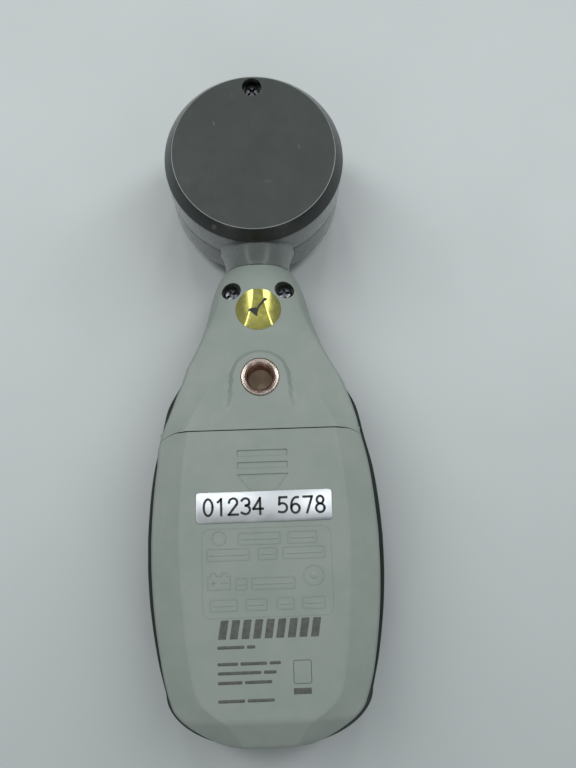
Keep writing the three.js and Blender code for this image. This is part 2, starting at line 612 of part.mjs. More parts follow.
piece('diffuser_dome', buildDome(), WHITE);
piece('dome_retainer', ring(10.4, DOME.flangeR, 8.6, 10, 24), BLACK_PLASTIC);
piece('filter_holder', ring(7.4, 9, 10.3, SENSOR_BOARD_Z - GAP, 20), BLACK_PLASTIC);
piece('correction_filter', bar(7.1, 10.3, 11.5, 0, HEAD_Y, 20), material('#4f9a78', 0.15));
piece('photodiode', box(9.6, 9.6, 2.4, 0, HEAD_Y, 11.9), material('#22262c', 0.25));

function buildSensorBoard() {
  return cut(
    solid(bar(19.2, SENSOR_BOARD_Z, SENSOR_BOARD_Z + BOARD_T, 0, HEAD_Y, 40)),
    solid(box(60, 10, 10, 0, 39, 10)),
    solid(bar(3.4, 10, 20, 0, HEAD_SCREW_Y)),
    ...bothSides((side) => bar(SCREW_HOLE_R, 10, 20, side * SENSOR_POST_X, HEAD_Y)),
  );
}

piece('sensor_board', buildSensorBoard(), GREEN_BOARD);
for (const [side, name] of [[-1, 'left'], [1, 'right']]) {
  const seat = SENSOR_BOARD_Z + BOARD_T + GAP;
  piece(`sensor_board_screw_${name}`, screw(seat, side * SENSOR_POST_X, HEAD_Y, 1.9, 8), BRIGHT_STEEL);
}
piece('sensor_lead_head', wire([[0, 19.6, AXIS_Z], [0, 30, AXIS_Z], [0, 40, AXIS_Z], [0, 44, 17.6],
  [0, 48, 18.4], [0, 52, 17.8]], LEAD_R), BLACK_PLASTIC);

// ---------- Display ----------

const windowPane = roundedRectangle(WINDOW.width - 2 * GAP, WINDOW.length - 2 * GAP, 1.3, 0, WINDOW.y);
piece('lcd_window', raised(windowPane, 0.4, 1.6, 3), CLEAR);
piece('lcd_panel', box(36, 23, 1.8, 0, WINDOW.y, 2.1), LCD_GLASS);
piece('lcd_frame', cut(
  solid(box(40, 27, 3.4, 0, WINDOW.y, 2.1)),
  solid(box(36.6, 23.6, 6, 0, WINDOW.y, 1)),
), BLACK_PLASTIC);
for (const [side, name] of [[-1, 'lower'], [1, 'upper']]) {
  piece(`contact_strip_${name}`, box(33, 1.8, 1.2, 0, WINDOW.y + side * 10.2, 4.2), RUBBER);
}

// ---------- Keys ----------

function ellipse(x, y, rx, ry) {
  return new THREE.Shape().absellipse(x, y, rx, ry, 0, 2 * Math.PI, false);
}

function keyForm(x, y, margin, bottom, top) {
  return raised(ellipse(x, y, KEY.rx + margin, KEY.ry + margin), bottom, top, 7);
}

for (const [name, x, y] of KEYS) {
  piece(`key_${name}`, join(
    solid(keyForm(x, y, 0, KEY.face, 3)),
    solid(keyForm(x, y, 0.8, 2.3, 3)),
    solid(bar(1.6, 2.5, KEY.top, x, y, 8)),
  ), KEY_GREY);
  piece(`snap_dome_${name}`, bar(2.6, KEY.top + KEY.travel + GAP, BOARD_Z - 0.2, x, y), BRIGHT_STEEL);
}

// ---------- Main board ----------

function buildMainBoard() {
  const shape = new THREE.Shape();
  shape.moveTo(-20, -68);
  shape.lineTo(20, -68);
  shape.lineTo(20, -6);
  shape.lineTo(12.5, 8);
  shape.lineTo(-12.5, 8);
  shape.lineTo(-20, -6);
  return cut(
    solid(raised(shape, BOARD_Z, BOARD_Z + BOARD_T)),
    ...BOARD_SCREWS.map(([x, y]) => solid(bar(SCREW_HOLE_R, 4, 9, x, y))),
  );
}

const boardTop = BOARD_Z + BOARD_T + GAP;
piece('main_board', buildMainBoard(), GREEN_BOARD);
BOARD_SCREWS.forEach(([x, y], i) => {
  piece(`board_screw_${i + 1}`, screw(boardTop - 0.2, x, y, 1.8, 4.6), BRIGHT_STEEL);
});
piece('measuring_chip', box(11, 11, 1.2, 0, -40, boardTop), BLACK_PLASTIC);
piece('reference_crystal', box(3.2, 8, 2.2, -9, -4, boardTop), BRIGHT_STEEL);
piece('filter_capacitor', bar(2.6, boardTop, boardTop + 6.5, 9.5, -2, 20), material('#20304a', 0.4));
piece('range_trimmer', box(4.4, 4.4, 3.4, -9.5, 4, boardTop), material('#3d6fb0', 0.4));
piece('lead_connector', box(6, 4, 4, 0, 3.6, boardTop), WHITE);
piece('sensor_lead_body', wire([[0, 19.2, AXIS_Z], [0, 15, 15.8], [0, 11, 13], [0, 8.4, 10.6],
  [0, 6.2, 9.8]], LEAD_R, 12), BLACK_PLASTIC);

// ---------- Battery ----------

function buildBattery() {
  const { width, length, height, bottom, y } = BATTERY;
  const can = raised(roundedRectangle(width, length, 0.6, 0, y), bottom, bottom + height, 2);
  const terminal = (x, radius) => new THREE.CylinderGeometry(radius, radius, 3, 16)
    .translate(x, y + length / 2 + 1.2, bottom + height / 2);
  return join(solid(can), solid(terminal(-6.35, 2.9)), solid(terminal(6.35, 3.9)));
}

piece('battery_9v', buildBattery(), CELL_JACKET);
const snapY = BATTERY.y + BATTERY.length / 2 + 3.2;
piece('battery_snap', box(25, 2.4, 12, 0, snapY + 1.2, 14), BLACK_PLASTIC);
for (const [side, name, look] of [[-1, 'black', BLACK_PLASTIC], [1, 'red', RED_WIRE]]) {
  piece(`battery_lead_${name}`, wire([[side * 2.5, snapY + 2.7, 21.5], [side * 2.8, -13.4, 21.4],
    [side * 3.6, -11.8, 19], [side * 4.2, -11.6, 14], [side * 5, -10.4, 10],
    [side * 5.4, -8, boardTop + 0.3]], 0.65, 12), look);
}

export default meter;
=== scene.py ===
"""Looks of a handheld light meter with a swivelling sensor head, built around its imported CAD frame.

Shapes are written in millimetres in the frame's own axes and turned into metres when a mesh is made.
"""

import math

import bmesh
import bpy
import numpy as np
from mathutils import Euler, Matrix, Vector


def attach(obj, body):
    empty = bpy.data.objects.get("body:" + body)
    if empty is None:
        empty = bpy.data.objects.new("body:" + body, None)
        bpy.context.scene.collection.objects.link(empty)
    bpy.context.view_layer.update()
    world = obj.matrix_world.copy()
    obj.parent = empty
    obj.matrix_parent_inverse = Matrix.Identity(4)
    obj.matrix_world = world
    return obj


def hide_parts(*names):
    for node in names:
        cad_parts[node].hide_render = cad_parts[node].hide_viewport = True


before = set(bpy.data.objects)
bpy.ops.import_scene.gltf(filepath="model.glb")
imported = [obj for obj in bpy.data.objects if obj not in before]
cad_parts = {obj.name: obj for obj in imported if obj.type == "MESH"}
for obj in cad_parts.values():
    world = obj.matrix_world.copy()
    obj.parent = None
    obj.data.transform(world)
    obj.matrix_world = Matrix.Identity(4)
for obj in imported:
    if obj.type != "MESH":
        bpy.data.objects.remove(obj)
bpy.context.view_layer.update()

MM = 0.001

# ---------- Dimensions, in millimetres ----------
AXIS_Z = 16.0
PLATEAU_Z = 31.5
REAR_BASE_Z = 15.15
FRONT_BASE_Z = 14.85
BODY_END_Y = -82.5
REAR_END_Y = -81.5
NECK_END_Y = 33.4
ROUND_END_Y = -70.0  # the outline is a round end below this
FRONT_ROUND, REAR_ROUND = ROUND_END_Y - BODY_END_Y, ROUND_END_Y - REAR_END_Y
WALL = 1.8
NECK_BORE_R = 6.6
HEAD_Y = 60.0
HEAD_R = 22.5
MOST_X = 28.96
DISC_R = 20.4
DISC_Z = 32.0
CHAMFER_Z = 28.6
HEAD_SPLIT_Z = 18.0
HEAD_FACE_Z = 5.0
NECK_R = 8.2
BUSH_Y = 3.0
BUSH_HOLE_R = 4.58
NECK_SCREW = (6.6, 26.1)
CASE_SCREW = (11.2, -74.2)
HEAD_SCREW_Y = HEAD_Y + 17.5
WELL_R = 2.45
SEAM_Y = -9.5
SEAM_GAP = 0.16
SEAM_END_GAP = 0.02
STICKER_Y = 20.6
STICKER_R = 5.55

HALF_WIDTHS = [(-70, 24.6), (-62, 26.55), (-50, 28.35), (-38, 29), (-27, 28.55), (-17.5, 27.45),
               (-9.3, 25.6), (-3, 24.3), (0, 23.2), (5, 20.3), (12, 16.85), (20, 13.75), (27, 11.85),
               (31.5, 9.9), (33.4, 8.3)]
RIM_END = [(-81.5, 1.8), (-80.8, 3.8), (-79.6, 4.7), (-78, 4.05), (-76, 3.3), (-73.5, 2.2), (-70, 1.4)]
RIM_RIGHT = RIM_END + [(-60, 1.15), (-2, 1.15), (3.5, 0.0)]
RIM_LEFT = RIM_END + [(-60, 1.45), (-17.4, 1.4), (-15.4, 1.1), (-13.6, 0.7), (-10.6, 0.7), (-9.2, 0.95),
                      (-3, 1.9), (1.5, 1.5), (4.4, 0.6), (6.5, 0.0)]
REAR_HEIGHTS = [(-70, 31.5), (-9, 31.5), (-6, 31.1), (-2, 30.7), (5, 30.25), (12, 29.65), (20, 28.35),
                (27, 26.4), (33.4, 24)]
REAR_END_HEIGHTS = [(-60, 31.5), (-73.3, 31.5), (-79.45, 28.0), (-81.5, 15.4)]
REAR_FLATS = [(-81.5, 4), (-79.5, 5.5), (-77.5, 6.8), (-75.5, 8), (-74, 9.2), (-73, 10.4), (-72, 11.9),
              (-71, 13.3), (-69.7, 14.7), (-67.5, 15.9), (-64.5, 16.75), (-60, 17.55), (-51, 18.5),
              (-38, 19.3), (-25, 19.4), (-12, 18.8), (0, 12.6), (12, 5.2), (22, 1.6), (33.4, 0.6)]
REAR_SIDE = [(1.0, 0.0), (0.81, 0.842), (0.0, 1.0)]  # wall and chamfer, as shares of the width and height
REAR_SIDE_FADE = [(12, 1.0), (33, 0.0)]  # share of the chamfered section, the rest is round
FRONT_HEIGHTS = [(-68, 0), (0, 0), (8, 0.9), (17, 3), (26, 5.7), (33.4, 8)]
CREASE, COVER_CREASE = 32, 28  # degrees; a steeper fold stays sharp
SKIN_ROWS = 190


# ---------- Small shape helpers ----------
def through(points, y):
    """Value at y of a smooth curve through (y, value) points."""
    last = len(points) - 1

    def slope(k):
        before, after = points[max(k - 1, 0)], points[min(k + 1, last)]
        return (after[1] - before[1]) / (after[0] - before[0])

    above = [k for k, point in enumerate(points) if point[0] >= y]
    i = min(max((above[0] if above else last) - 1, 0), last - 1)
    step = points[i + 1][0] - points[i][0]
    t = min(max((y - points[i][0]) / step, 0.0), 1.0)
    rise = step * (slope(i) * t * (1 - t) ** 2 - slope(i + 1) * t * t * (1 - t))
    return points[i][1] + (points[i + 1][1] - points[i][1]) * t * t * (3 - 2 * t) + rise


def round_end(t, power, root):
    return (1 - min(max(t, 0.0), 1.0) ** power) ** (1 / root)


def outline_at(y, length):
    if y >= HALF_WIDTHS[0][0]:
        return min(MOST_X, through(HALF_WIDTHS, y))
    return max(1.2, HALF_WIDTHS[0][1] * round_end((HALF_WIDTHS[0][0] - y) / length, 1.9, 2.2))


def rear_width(y, rims):
    rim = 0.0 if y > rims[-1][0] else max(0.0, through(rims, y))
    return max(1.0, outline_at(y, REAR_ROUND) - rim)


def rear_height(y):
    if y >= REAR_HEIGHTS[0][0]:
        return min(PLATEAU_Z, through(REAR_HEIGHTS, y))
    bend = soften(REAR_END_HEIGHTS, 0.8, 6, closed=False)[::-1]
    return float(np.interp(y, [p[0] for p in bend], [p[1] for p in bend]))


def front_height(y):
    start = FRONT_HEIGHTS[0][0]
    if y >= start:
        return max(0.0, through(FRONT_HEIGHTS, y))
    return (FRONT_BASE_Z - 0.25) * (1 - round_end((start - y) / (start - BODY_END_Y), 2, 2))


def rear_flat(y):
    return min(through(REAR_FLATS, y), 0.7 * rear_width(y, RIM_RIGHT))


def front_flat(y):
    width = outline_at(y, FRONT_ROUND)
    return max(0.5, min(width - 6, 0.75 * width))


def circle(radius, x=0.0, y=0.0, sides=48):
    turn = 2 * math.pi / sides
    return [(x + radius * math.cos(turn * i), y + radius * math.sin(turn * i)) for i in range(sides)]


def ellipse(rx, ry, x=0.0, y=0.0, sides=64):
    return [(x + rx * u, y + ry * v) for u, v in circle(1.0, sides=sides)]


def soften(points, reach, steps=4, closed=True):
    """Rounds each corner of an outline or profile, starting `reach` before the corner."""
    made = []
    count = len(points)
    for i, corner in enumerate(points):
        if not closed and i in (0, count - 1):
            made.append(tuple(corner))
            continue
        b = Vector(corner)
        a, c = Vector(points[i - 1]), Vector(points[(i + 1) % count])
        r = min(reach, 0.45 * (a - b).length, 0.45 * (c - b).length)
        p, q = b + (a - b).normalized() * r, b + (c - b).normalized() * r
        for k in range(steps + 1):
            t = k / steps
            made.append(tuple(p * (1 - t) ** 2 + b * 2 * t * (1 - t) + q * t * t))
    return made


def rounded_box(width, length, radius, x=0.0, y=0.0, steps=6):
    made = []
    corners = [(1, -1, -90), (1, 1, 0), (-1, 1, 90), (-1, -1, 180)]
    for sx, sy, start in corners:
        cx, cy = x + sx * (width / 2 - radius), y + sy * (length / 2 - radius)
        for k in range(steps + 1):
            a = math.radians(start + 90 * k / steps)
            made.append((cx + radius * math.cos(a), cy + radius * math.sin(a)))
    return made


def inset(outline, amount):
    """The outline, which runs anticlockwise, moved inwards."""
    made = []
    count = len(outline)
    for i in range(count):
        a, b, c = Vector(outline[i - 1]), Vector(outline[i]), Vector(outline[(i + 1) % count])
        u, v = b - a, c - b
        n = Vector((-u.y, u.x)).normalized() + Vector((-v.y, v.x)).normalized()
        if n.length < 1e-6:
            made.append(tuple(b))
            continue
        n.normalize()
        lean = max(0.35, n.dot(Vector((-v.y, v.x)).normalized()))
        made.append(tuple(b + n * (amount / lean)))
    return made


def level(outline, z):
    return [(x, y, z) for x, y in outline]


# ---------- Mesh helpers ----------
def settle_mesh(mesh, crease):
    bm = bmesh.new()
    bm.from_mesh(mesh)
    bmesh.ops.remove_doubles(bm, verts=bm.verts, dist=2e-6)
    bmesh.ops.recalc_face_normals(bm, faces=bm.faces)
    bm.to_mesh(mesh)
    bm.free()
    mesh.polygons.foreach_set("use_smooth", [True] * len(mesh.polygons))
    mesh.set_sharp_from_angle(angle=math.radians(crease))


def link(name, points, faces, crease=CREASE):
    mesh = bpy.data.meshes.new(name)
    mesh.from_pydata([tuple(float(c) * MM for c in p) for p in points], [], faces)
    settle_mesh(mesh, crease)
    obj = bpy.data.objects.new(name, mesh)
    bpy.context.scene.collection.objects.link(obj)
    return obj


def lofted(name, rings, wrap=False, crease=CREASE):
    """Skin through rings of equal count. It closes both ends, or with wrap joins the last to the first."""
    count, total = len(rings[0]), len(rings)
    points = [p for ring in rings for p in ring]
    faces = []
    for i in range(total if wrap else total - 1):
        a, b = i * count, (i + 1) % total * count
        for k in range(count):
            n = (k + 1) % count
            faces.append((a + k, a + n, b + n, b + k))
    if not wrap:
        faces.append(tuple(range(count)))
        faces.append(tuple(range((total - 1) * count, total * count)))
    return link(name, points, faces, crease)


def turned(name, profile, x=0.0, y=HEAD_Y, sides=96, wrap=False, crease=CREASE):
    """Turned about an upright axis; a profile point is (radius, z)."""
    return lofted(name, [level(circle(max(r, 0.01), x, y, sides), z) for r, z in profile], wrap, crease)


def turned_on_axis(name, profile, sides=128):
    """Turned about the swivel axis; a profile point is (radius, y)."""
    return lofted(name, [[(u, y, AXIS_Z + v) for u, v in circle(r, sides=sides)] for r, y in profile])


def slab(name, outline, low, high, edge=0.15, steps=3, crease=CREASE):
    """A plate with rounded rims at top and bottom."""
    edge = min(edge, (high - low) / 2.01)
    rims = [math.radians(90 * k / steps) for k in range(steps + 1)]
    rings = [level(inset(outline, edge * (1 - math.sin(a))), low + edge * (1 - math.cos(a))) for a in rims]
    rings += [level(inset(outline, edge * (1 - math.cos(a))), high - edge * (1 - math.sin(a))) for a in rims]
    return lofted(name, rings, crease=crease)


def pit(outline, floor, surface, draft=0.12, clear=1.5):
    """A cutter that leaves sloping walls between a floor and the surface above or below it."""
    top = inset(outline, -draft)
    away = surface + math.copysign(clear, surface - floor)
    return lofted("pit", [level(outline, floor), level(top, surface), level(top, away)])


def joined(name, parts):
    """One object from several, in the order given."""
    bm = bmesh.new()
    for part in parts:
        bm.from_mesh(part.data)
        bpy.data.objects.remove(part)
    mesh = bpy.data.meshes.new(name)
    bm.to_mesh(mesh)
    bm.free()
    settle_mesh(mesh, CREASE)
    obj = bpy.data.objects.new(name, mesh)
    bpy.context.scene.collection.objects.link(obj)
    return obj


def carved(obj, cutters, operation="DIFFERENCE", crease=CREASE):
    """obj with the cutters taken out of it, joined to it or kept in common with it."""
    tool = joined("tool", cutters) if len(cutters) > 1 else cutters[0]
    change = obj.modifiers.new("carve", "BOOLEAN")
    change.operation = operation
    change.solver = "EXACT"
    change.object = tool
    graph = bpy.context.evaluated_depsgraph_get()
    mesh = bpy.data.meshes.new_from_object(obj.evaluated_get(graph))
    obj.modifiers.clear()
    obj.data = mesh
    bpy.data.objects.remove(tool)
    settle_mesh(mesh, crease)
    return obj


def tube(name, points, radius, sides=20, steps=10):
    """A round wire along a smooth path."""
    path = [Vector(p) for p in points]
    ends = [path[0] * 2 - path[1]] + path + [path[-1] * 2 - path[-2]]
    line = []
    for i in range(1, len(ends) - 2):
        a, b, c, d = ends[i - 1 : i + 3]
        for k in range(steps):
            t = k / steps
            line.append(((b * 2) + (c - a) * t + (a * 2 - b * 5 + c * 4 - d) * t * t
                         + (b * 3 - a - c * 3 + d) * t ** 3) / 2)
    line.append(path[-1])
    side = Vector((0.31, 0.2, 0.93))
    rings = []
    for i, point in enumerate(line):
        ahead = (line[min(i + 1, len(line) - 1)] - line[max(i - 1, 0)]).normalized()
        side = (side - ahead * side.dot(ahead)).normalized()
        across = ahead.cross(side)
        rings.append([tuple(point + side * u + across * v) for u, v in circle(radius, sides=sides)])
    return lofted(name, rings)


# ---------- Finishes ----------
def srgb(r, g, b):
    return tuple(c / 255 / 12.92 if c <= 10 else ((c / 255 + 0.055) / 1.055) ** 2.4
                 for c in (r, g, b)) + (1.0,)


class Finish:
    """A node material with mottled colour, moulded grain, uneven roughness and scuffs."""

    def __init__(self, name, color, shade, rough, metal=0.0, grain=0.3, relief=0.01, patch=7.0,
                 uneven=0.06, scuff=0.05, scuff_color=(200, 200, 196), stretch=(1, 1, 1), spots=(),
                 **sockets):
        self.material = bpy.data.materials.new(name)
        self.material.use_nodes = True
        self.tree = self.material.node_tree
        self.shader = self.tree.nodes["Principled BSDF"]
        self.shader.inputs["Metallic"].default_value = metal
        for socket, value in sockets.items():
            self.shader.inputs[socket.replace("_", " ")].default_value = value
        self.place = self.add("ShaderNodeTexCoord").outputs["Object"]
        stretched = self.add("ShaderNodeMapping", Vector=self.place, Scale=stretch).outputs["Vector"]
        patches = self.noise(stretched, patch, 3)
        tone = self.add("ShaderNodeMix", data_type="RGBA")
        self.wire(self.steps(patches, 0.35, 0.65), tone.inputs["Factor"])
        tone.inputs["A"].default_value = srgb(*color)
        tone.inputs["B"].default_value = srgb(*shade)
        marks = self.scuffs(scuff)
        for spot in spots:
            marks = self.blend("MAXIMUM", marks, self.spot(*spot))
        worn = self.add("ShaderNodeMix", data_type="RGBA")
        self.wire(marks, worn.inputs["Factor"])
        self.wire(tone.outputs["Result"], worn.inputs["A"])
        worn.inputs["B"].default_value = srgb(*scuff_color)
        self.color = worn.outputs["Result"]
        self.wire(self.color, self.shader.inputs["Base Color"])
        smear = self.noise(self.place, patch * 0.37, 4)
        self.wire(self.spread(smear, rough - uneven, rough + uneven), self.shader.inputs["Roughness"])
        fine = self.noise(stretched, grain, 2)
        bump = self.add("ShaderNodeBump", Strength=1.0, Distance=relief * MM)
        self.wire(fine, bump.inputs["Height"])
        self.wire(bump.outputs["Normal"], self.shader.inputs["Normal"])
        self.bump = bump

    def add(self, kind, data_type=None, **values):
        node = self.tree.nodes.new(kind)
        if data_type:
            node.data_type = data_type
        for key, value in values.items():
            if isinstance(value, bpy.types.NodeSocket):
                self.wire(value, node.inputs[key])
            else:
                node.inputs[key].default_value = value
        return node

    def wire(self, out, socket):
        self.tree.links.new(out, socket)

    def noise(self, place, size, detail):
        """Noise whose features are about `size` millimetres across."""
        noise = self.add("ShaderNodeTexNoise", Vector=place, Scale=1 / (size * MM), Detail=detail)
        return noise.outputs["Fac"]

    def steps(self, value, low, high):
        return self.spread(value, 0.0, 1.0, low, high)

    def spread(self, value, low, high, start=0.3, end=0.7):
        """The value moved from the range start..end to low..high."""
        node = self.add("ShaderNodeMapRange")
        self.wire(value, node.inputs["Value"])
        for key, number in (("From Min", start), ("From Max", end), ("To Min", low), ("To Max", high)):
            node.inputs[key].default_value = number
        return node.outputs["Result"]

    def blend(self, operation, a, b):
        node = self.add("ShaderNodeMath")
        node.operation = operation
        self.wire(a, node.inputs[0])
        self.wire(b, node.inputs[1])
        return node.outputs[0]

    def spot(self, centre, size, turn, amount, broken):
        """A soft mark of that place and size in millimetres, broken up by fine noise."""
        local = self.add("ShaderNodeMapping", Vector=self.place, Location=[c * MM for c in centre],
                         Rotation=(0, 0, turn), Scale=[c * MM for c in size])
        local.vector_type = "TEXTURE"
        length = self.add("ShaderNodeVectorMath", Vector=local.outputs["Vector"])
        length.operation = "LENGTH"
        mark = self.spread(length.outputs["Value"], amount, 0.0, 0.3, 1.0)
        grit = self.spread(self.noise(self.place, 0.35, 3), 1 - broken, 1.0, 0.42, 0.62)
        return self.blend("MULTIPLY", mark, grit)

    def scuffs(self, amount):
        """Sparse short scratches, stronger in some patches than in others."""
        lines = []
        for turn, scale in ((0.5, (9, 0.35, 1)), (-1.1, (7, 0.3, 1))):
            bent = self.add("ShaderNodeMapping", Vector=self.place, Rotation=(0, 0, turn), Scale=scale)
            strokes = self.noise(bent.outputs["Vector"], 2.4, 1)
            lines.append(self.spread(strokes, 0.0, amount, 0.71, 0.78))
        where = self.spread(self.noise(self.place, 16, 2), 0.0, 1.0, 0.48, 0.62)
        return self.blend("MULTIPLY", self.blend("MAXIMUM", *lines), where)


def finish(*args, **kwargs):
    return Finish(*args, **kwargs).material


DISC_SCRATCHES = [((-9.7, 67.8, 32), (0.1, 0.7, 1), 0.2, 0.5, 0.5),
                  ((11.3, 61.0, 32), (0.09, 0.9, 1), 0.15, 0.35, 0.6),
                  ((-5.0, 75.3, 32), (0.08, 0.6, 1), 0.1, 0.25, 0.4),
                  ((3.5, 52.0, 32), (1.6, 0.5, 1), 0.0, 0.05, 0.8)]
CHAMFER_SCUFFS = [((-10.1, 41.2, 30), (0.9, 0.8, 1.2), 0.4, 0.3, 0.9),
                  ((-8.3, 40.6, 30), (0.5, 0.3, 1), 0.2, 0.15, 0.9),
                  ((15.2, 45.6, 30), (0.6, 0.5, 1), 0.6, 0.08, 0.9)]
LIGHT_GREY = finish("light grey moulding", (133, 142, 136), (128, 138, 131), 0.5, grain=0.22, relief=0.006)
DARK_GREY = finish("dark grey moulding", (46, 54, 52), (40, 48, 46), 0.42, grain=0.22, relief=0.006)
HEAD_DISC = finish("head disc", (42, 51, 47), (37, 46, 42), 0.52, grain=0.16, relief=0.012, scuff=0.03,
                   spots=DISC_SCRATCHES)
# The chamfer of the head: the same dark grey plastic, its colour painted near black as painted shade.
HEAD_GLOSS_PAINTED_DARK = finish("head gloss", (8, 12, 9), (6, 9, 7), 0.3, grain=0.5, relief=0.002, uneven=0.04,
                    spots=CHAMFER_SCUFFS, Coat_Weight=0.35, Coat_Roughness=0.3, Coat_IOR=1.6)
# The rounded rim of the disc: a light grey painted highlight along the edge.
HEAD_EDGE_HIGHLIGHT = finish("head edge", (132, 140, 136), (122, 130, 126), 0.35, grain=0.3, relief=0.002)
# The neck: the same dark grey plastic, its colour painted much lighter as painted light.
HEAD_NECK_PAINTED_LIGHT = finish("head neck", (104, 111, 108), (97, 104, 101), 0.3, grain=0.3, relief=0.003, uneven=0.05,
                   Coat_Weight=0.6, Coat_Roughness=0.22, Coat_IOR=1.6)
# The drum wall, the front half and the head screw well: the same dark grey plastic painted lighter, as
# painted light on the wall.
HEAD_WALL_PAINTED_LIGHT = finish("head wall", (60, 66, 63), (54, 60, 57), 0.3, grain=0.3, relief=0.003,
                   Coat_Weight=0.8, Coat_Roughness=0.2, Coat_IOR=1.7)
BLACK_STEEL = finish("black steel", (112, 114, 118), (92, 94, 98), 0.3, 0.9, grain=0.12, relief=0.004,
                     scuff=0.3)
BRIGHT_STEEL = finish("bright steel", (196, 198, 200), (176, 178, 182), 0.28, 1.0, grain=0.3, relief=0.002)
# The threaded wall of the bore: the bush metal painted darker and browner, as painted shade in the bore.
BUSH_WALL_SHADED = finish("bush wall", (158, 130, 116), (124, 98, 86), 0.32, 1.0, grain=0.3, relief=0.001,
                   patch=1.5, scuff=0)
COPPER_NICKEL = finish("copper nickel", (193, 181, 173), (174, 160, 151), 0.28, 1.0, grain=0.3,
                       relief=0.0015, patch=4, uneven=0.06, scuff=0)
# The floor of the bore: the bush metal painted lighter, as painted light in the recess.
BUSH_FLOOR_LIGHTENED = finish("bush floor", (236, 228, 210), (226, 218, 200), 0.36, 0.9, grain=0.3, relief=0.001,
                    patch=3, scuff=0, Anisotropic=0.8)
GOLD_FOIL = finish("gold foil", (204, 200, 118), (192, 188, 102), 0.17, 1.0, grain=2.2, relief=0.012, patch=3,
                   uneven=0.03, stretch=(1, 0.25, 1), scuff=0.03)
SILVER_FOIL = finish("silver foil", (186, 190, 192), (176, 181, 184), 0.34, 0.9, grain=0.3, relief=0.001,
                     patch=9, stretch=(0.4, 1.5, 1), scuff=0.05)
INK = finish("printing ink", (66, 70, 66), (82, 86, 81), 0.55, grain=0.1, relief=0.002, patch=0.8, scuff=0)
FOIL_INK = finish("foil ink", (20, 22, 24), (30, 32, 34), 0.6, grain=0.1, relief=0.002, patch=0.8, scuff=0)
FOAM = finish("foam", (52, 54, 57), (38, 40, 43), 0.95, grain=0.45, relief=0.35, patch=1.2, scuff=0)
RUBBER = finish("rubber", (24, 24, 25), (32, 32, 33), 0.75, grain=0.2, relief=0.01)
BLACK_PLASTIC = finish("black plastic", (30, 31, 32), (24, 25, 26), 0.45, grain=0.25, relief=0.006)
KEY_GREY = finish("key rubber", (128, 137, 133), (120, 129, 126), 0.62, grain=0.3, relief=0.008)
GREEN_BOARD = finish("circuit board", (30, 92, 58), (24, 78, 48), 0.4, grain=0.5, relief=0.01, patch=2.5)
RED_WIRE = finish("red wire", (176, 34, 28), (150, 26, 22), 0.42, grain=0.5, relief=0.006)
JACKET = finish("cell jacket", (44, 62, 94), (38, 54, 84), 0.3, 0.4, grain=0.4, relief=0.004)
DOME_WHITE = finish("white diffuser", (236, 235, 228), (228, 227, 219), 0.5, grain=0.4, relief=0.004,
                    Subsurface_Weight=0.25, Subsurface_Scale=0.004)
CLEAR = finish("clear plastic", (232, 238, 238), (224, 232, 232), 0.06, uneven=0.02, grain=1.5,
               relief=0.001, scuff=0.05, Transmission_Weight=0.9)
LCD_GREEN = finish("display glass", (152, 164, 146), (146, 158, 141), 0.25, grain=0.3, relief=0.001)
WHITE_PLASTIC = finish("white plastic", (226, 224, 214), (216, 214, 204), 0.45)
FILTER_GREEN = finish("green filter", (72, 148, 112), (64, 136, 102), 0.12, uneven=0.03,
                      Transmission_Weight=0.6)
SILICON = finish("silicon", (34, 38, 48), (24, 27, 38), 0.2, 0.3, patch=2.0)
BLUE_PART = finish("blue part", (54, 98, 168), (46, 86, 150), 0.4)
CAN_SLEEVE = finish("capacitor sleeve", (32, 44, 66), (26, 38, 58), 0.35)


def place(obj, body, slot, *looks, stands_for=()):
    """Gives a finished piece its materials and its body; the slot argument is not used."""
    if looks:
        obj.data.materials.clear()
        for look in looks:
            obj.data.materials.append(look)
    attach(obj, body)
    if stands_for:
        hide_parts(*stands_for)
    return obj


# ---------- Body skins ----------
TABLE_Y = np.linspace(BODY_END_Y, NECK_END_Y, 4600)
SIDE_STEPS, FLAT_STEPS = 84, 36


def table(function):
    return np.array([function(float(y)) for y in TABLE_Y])


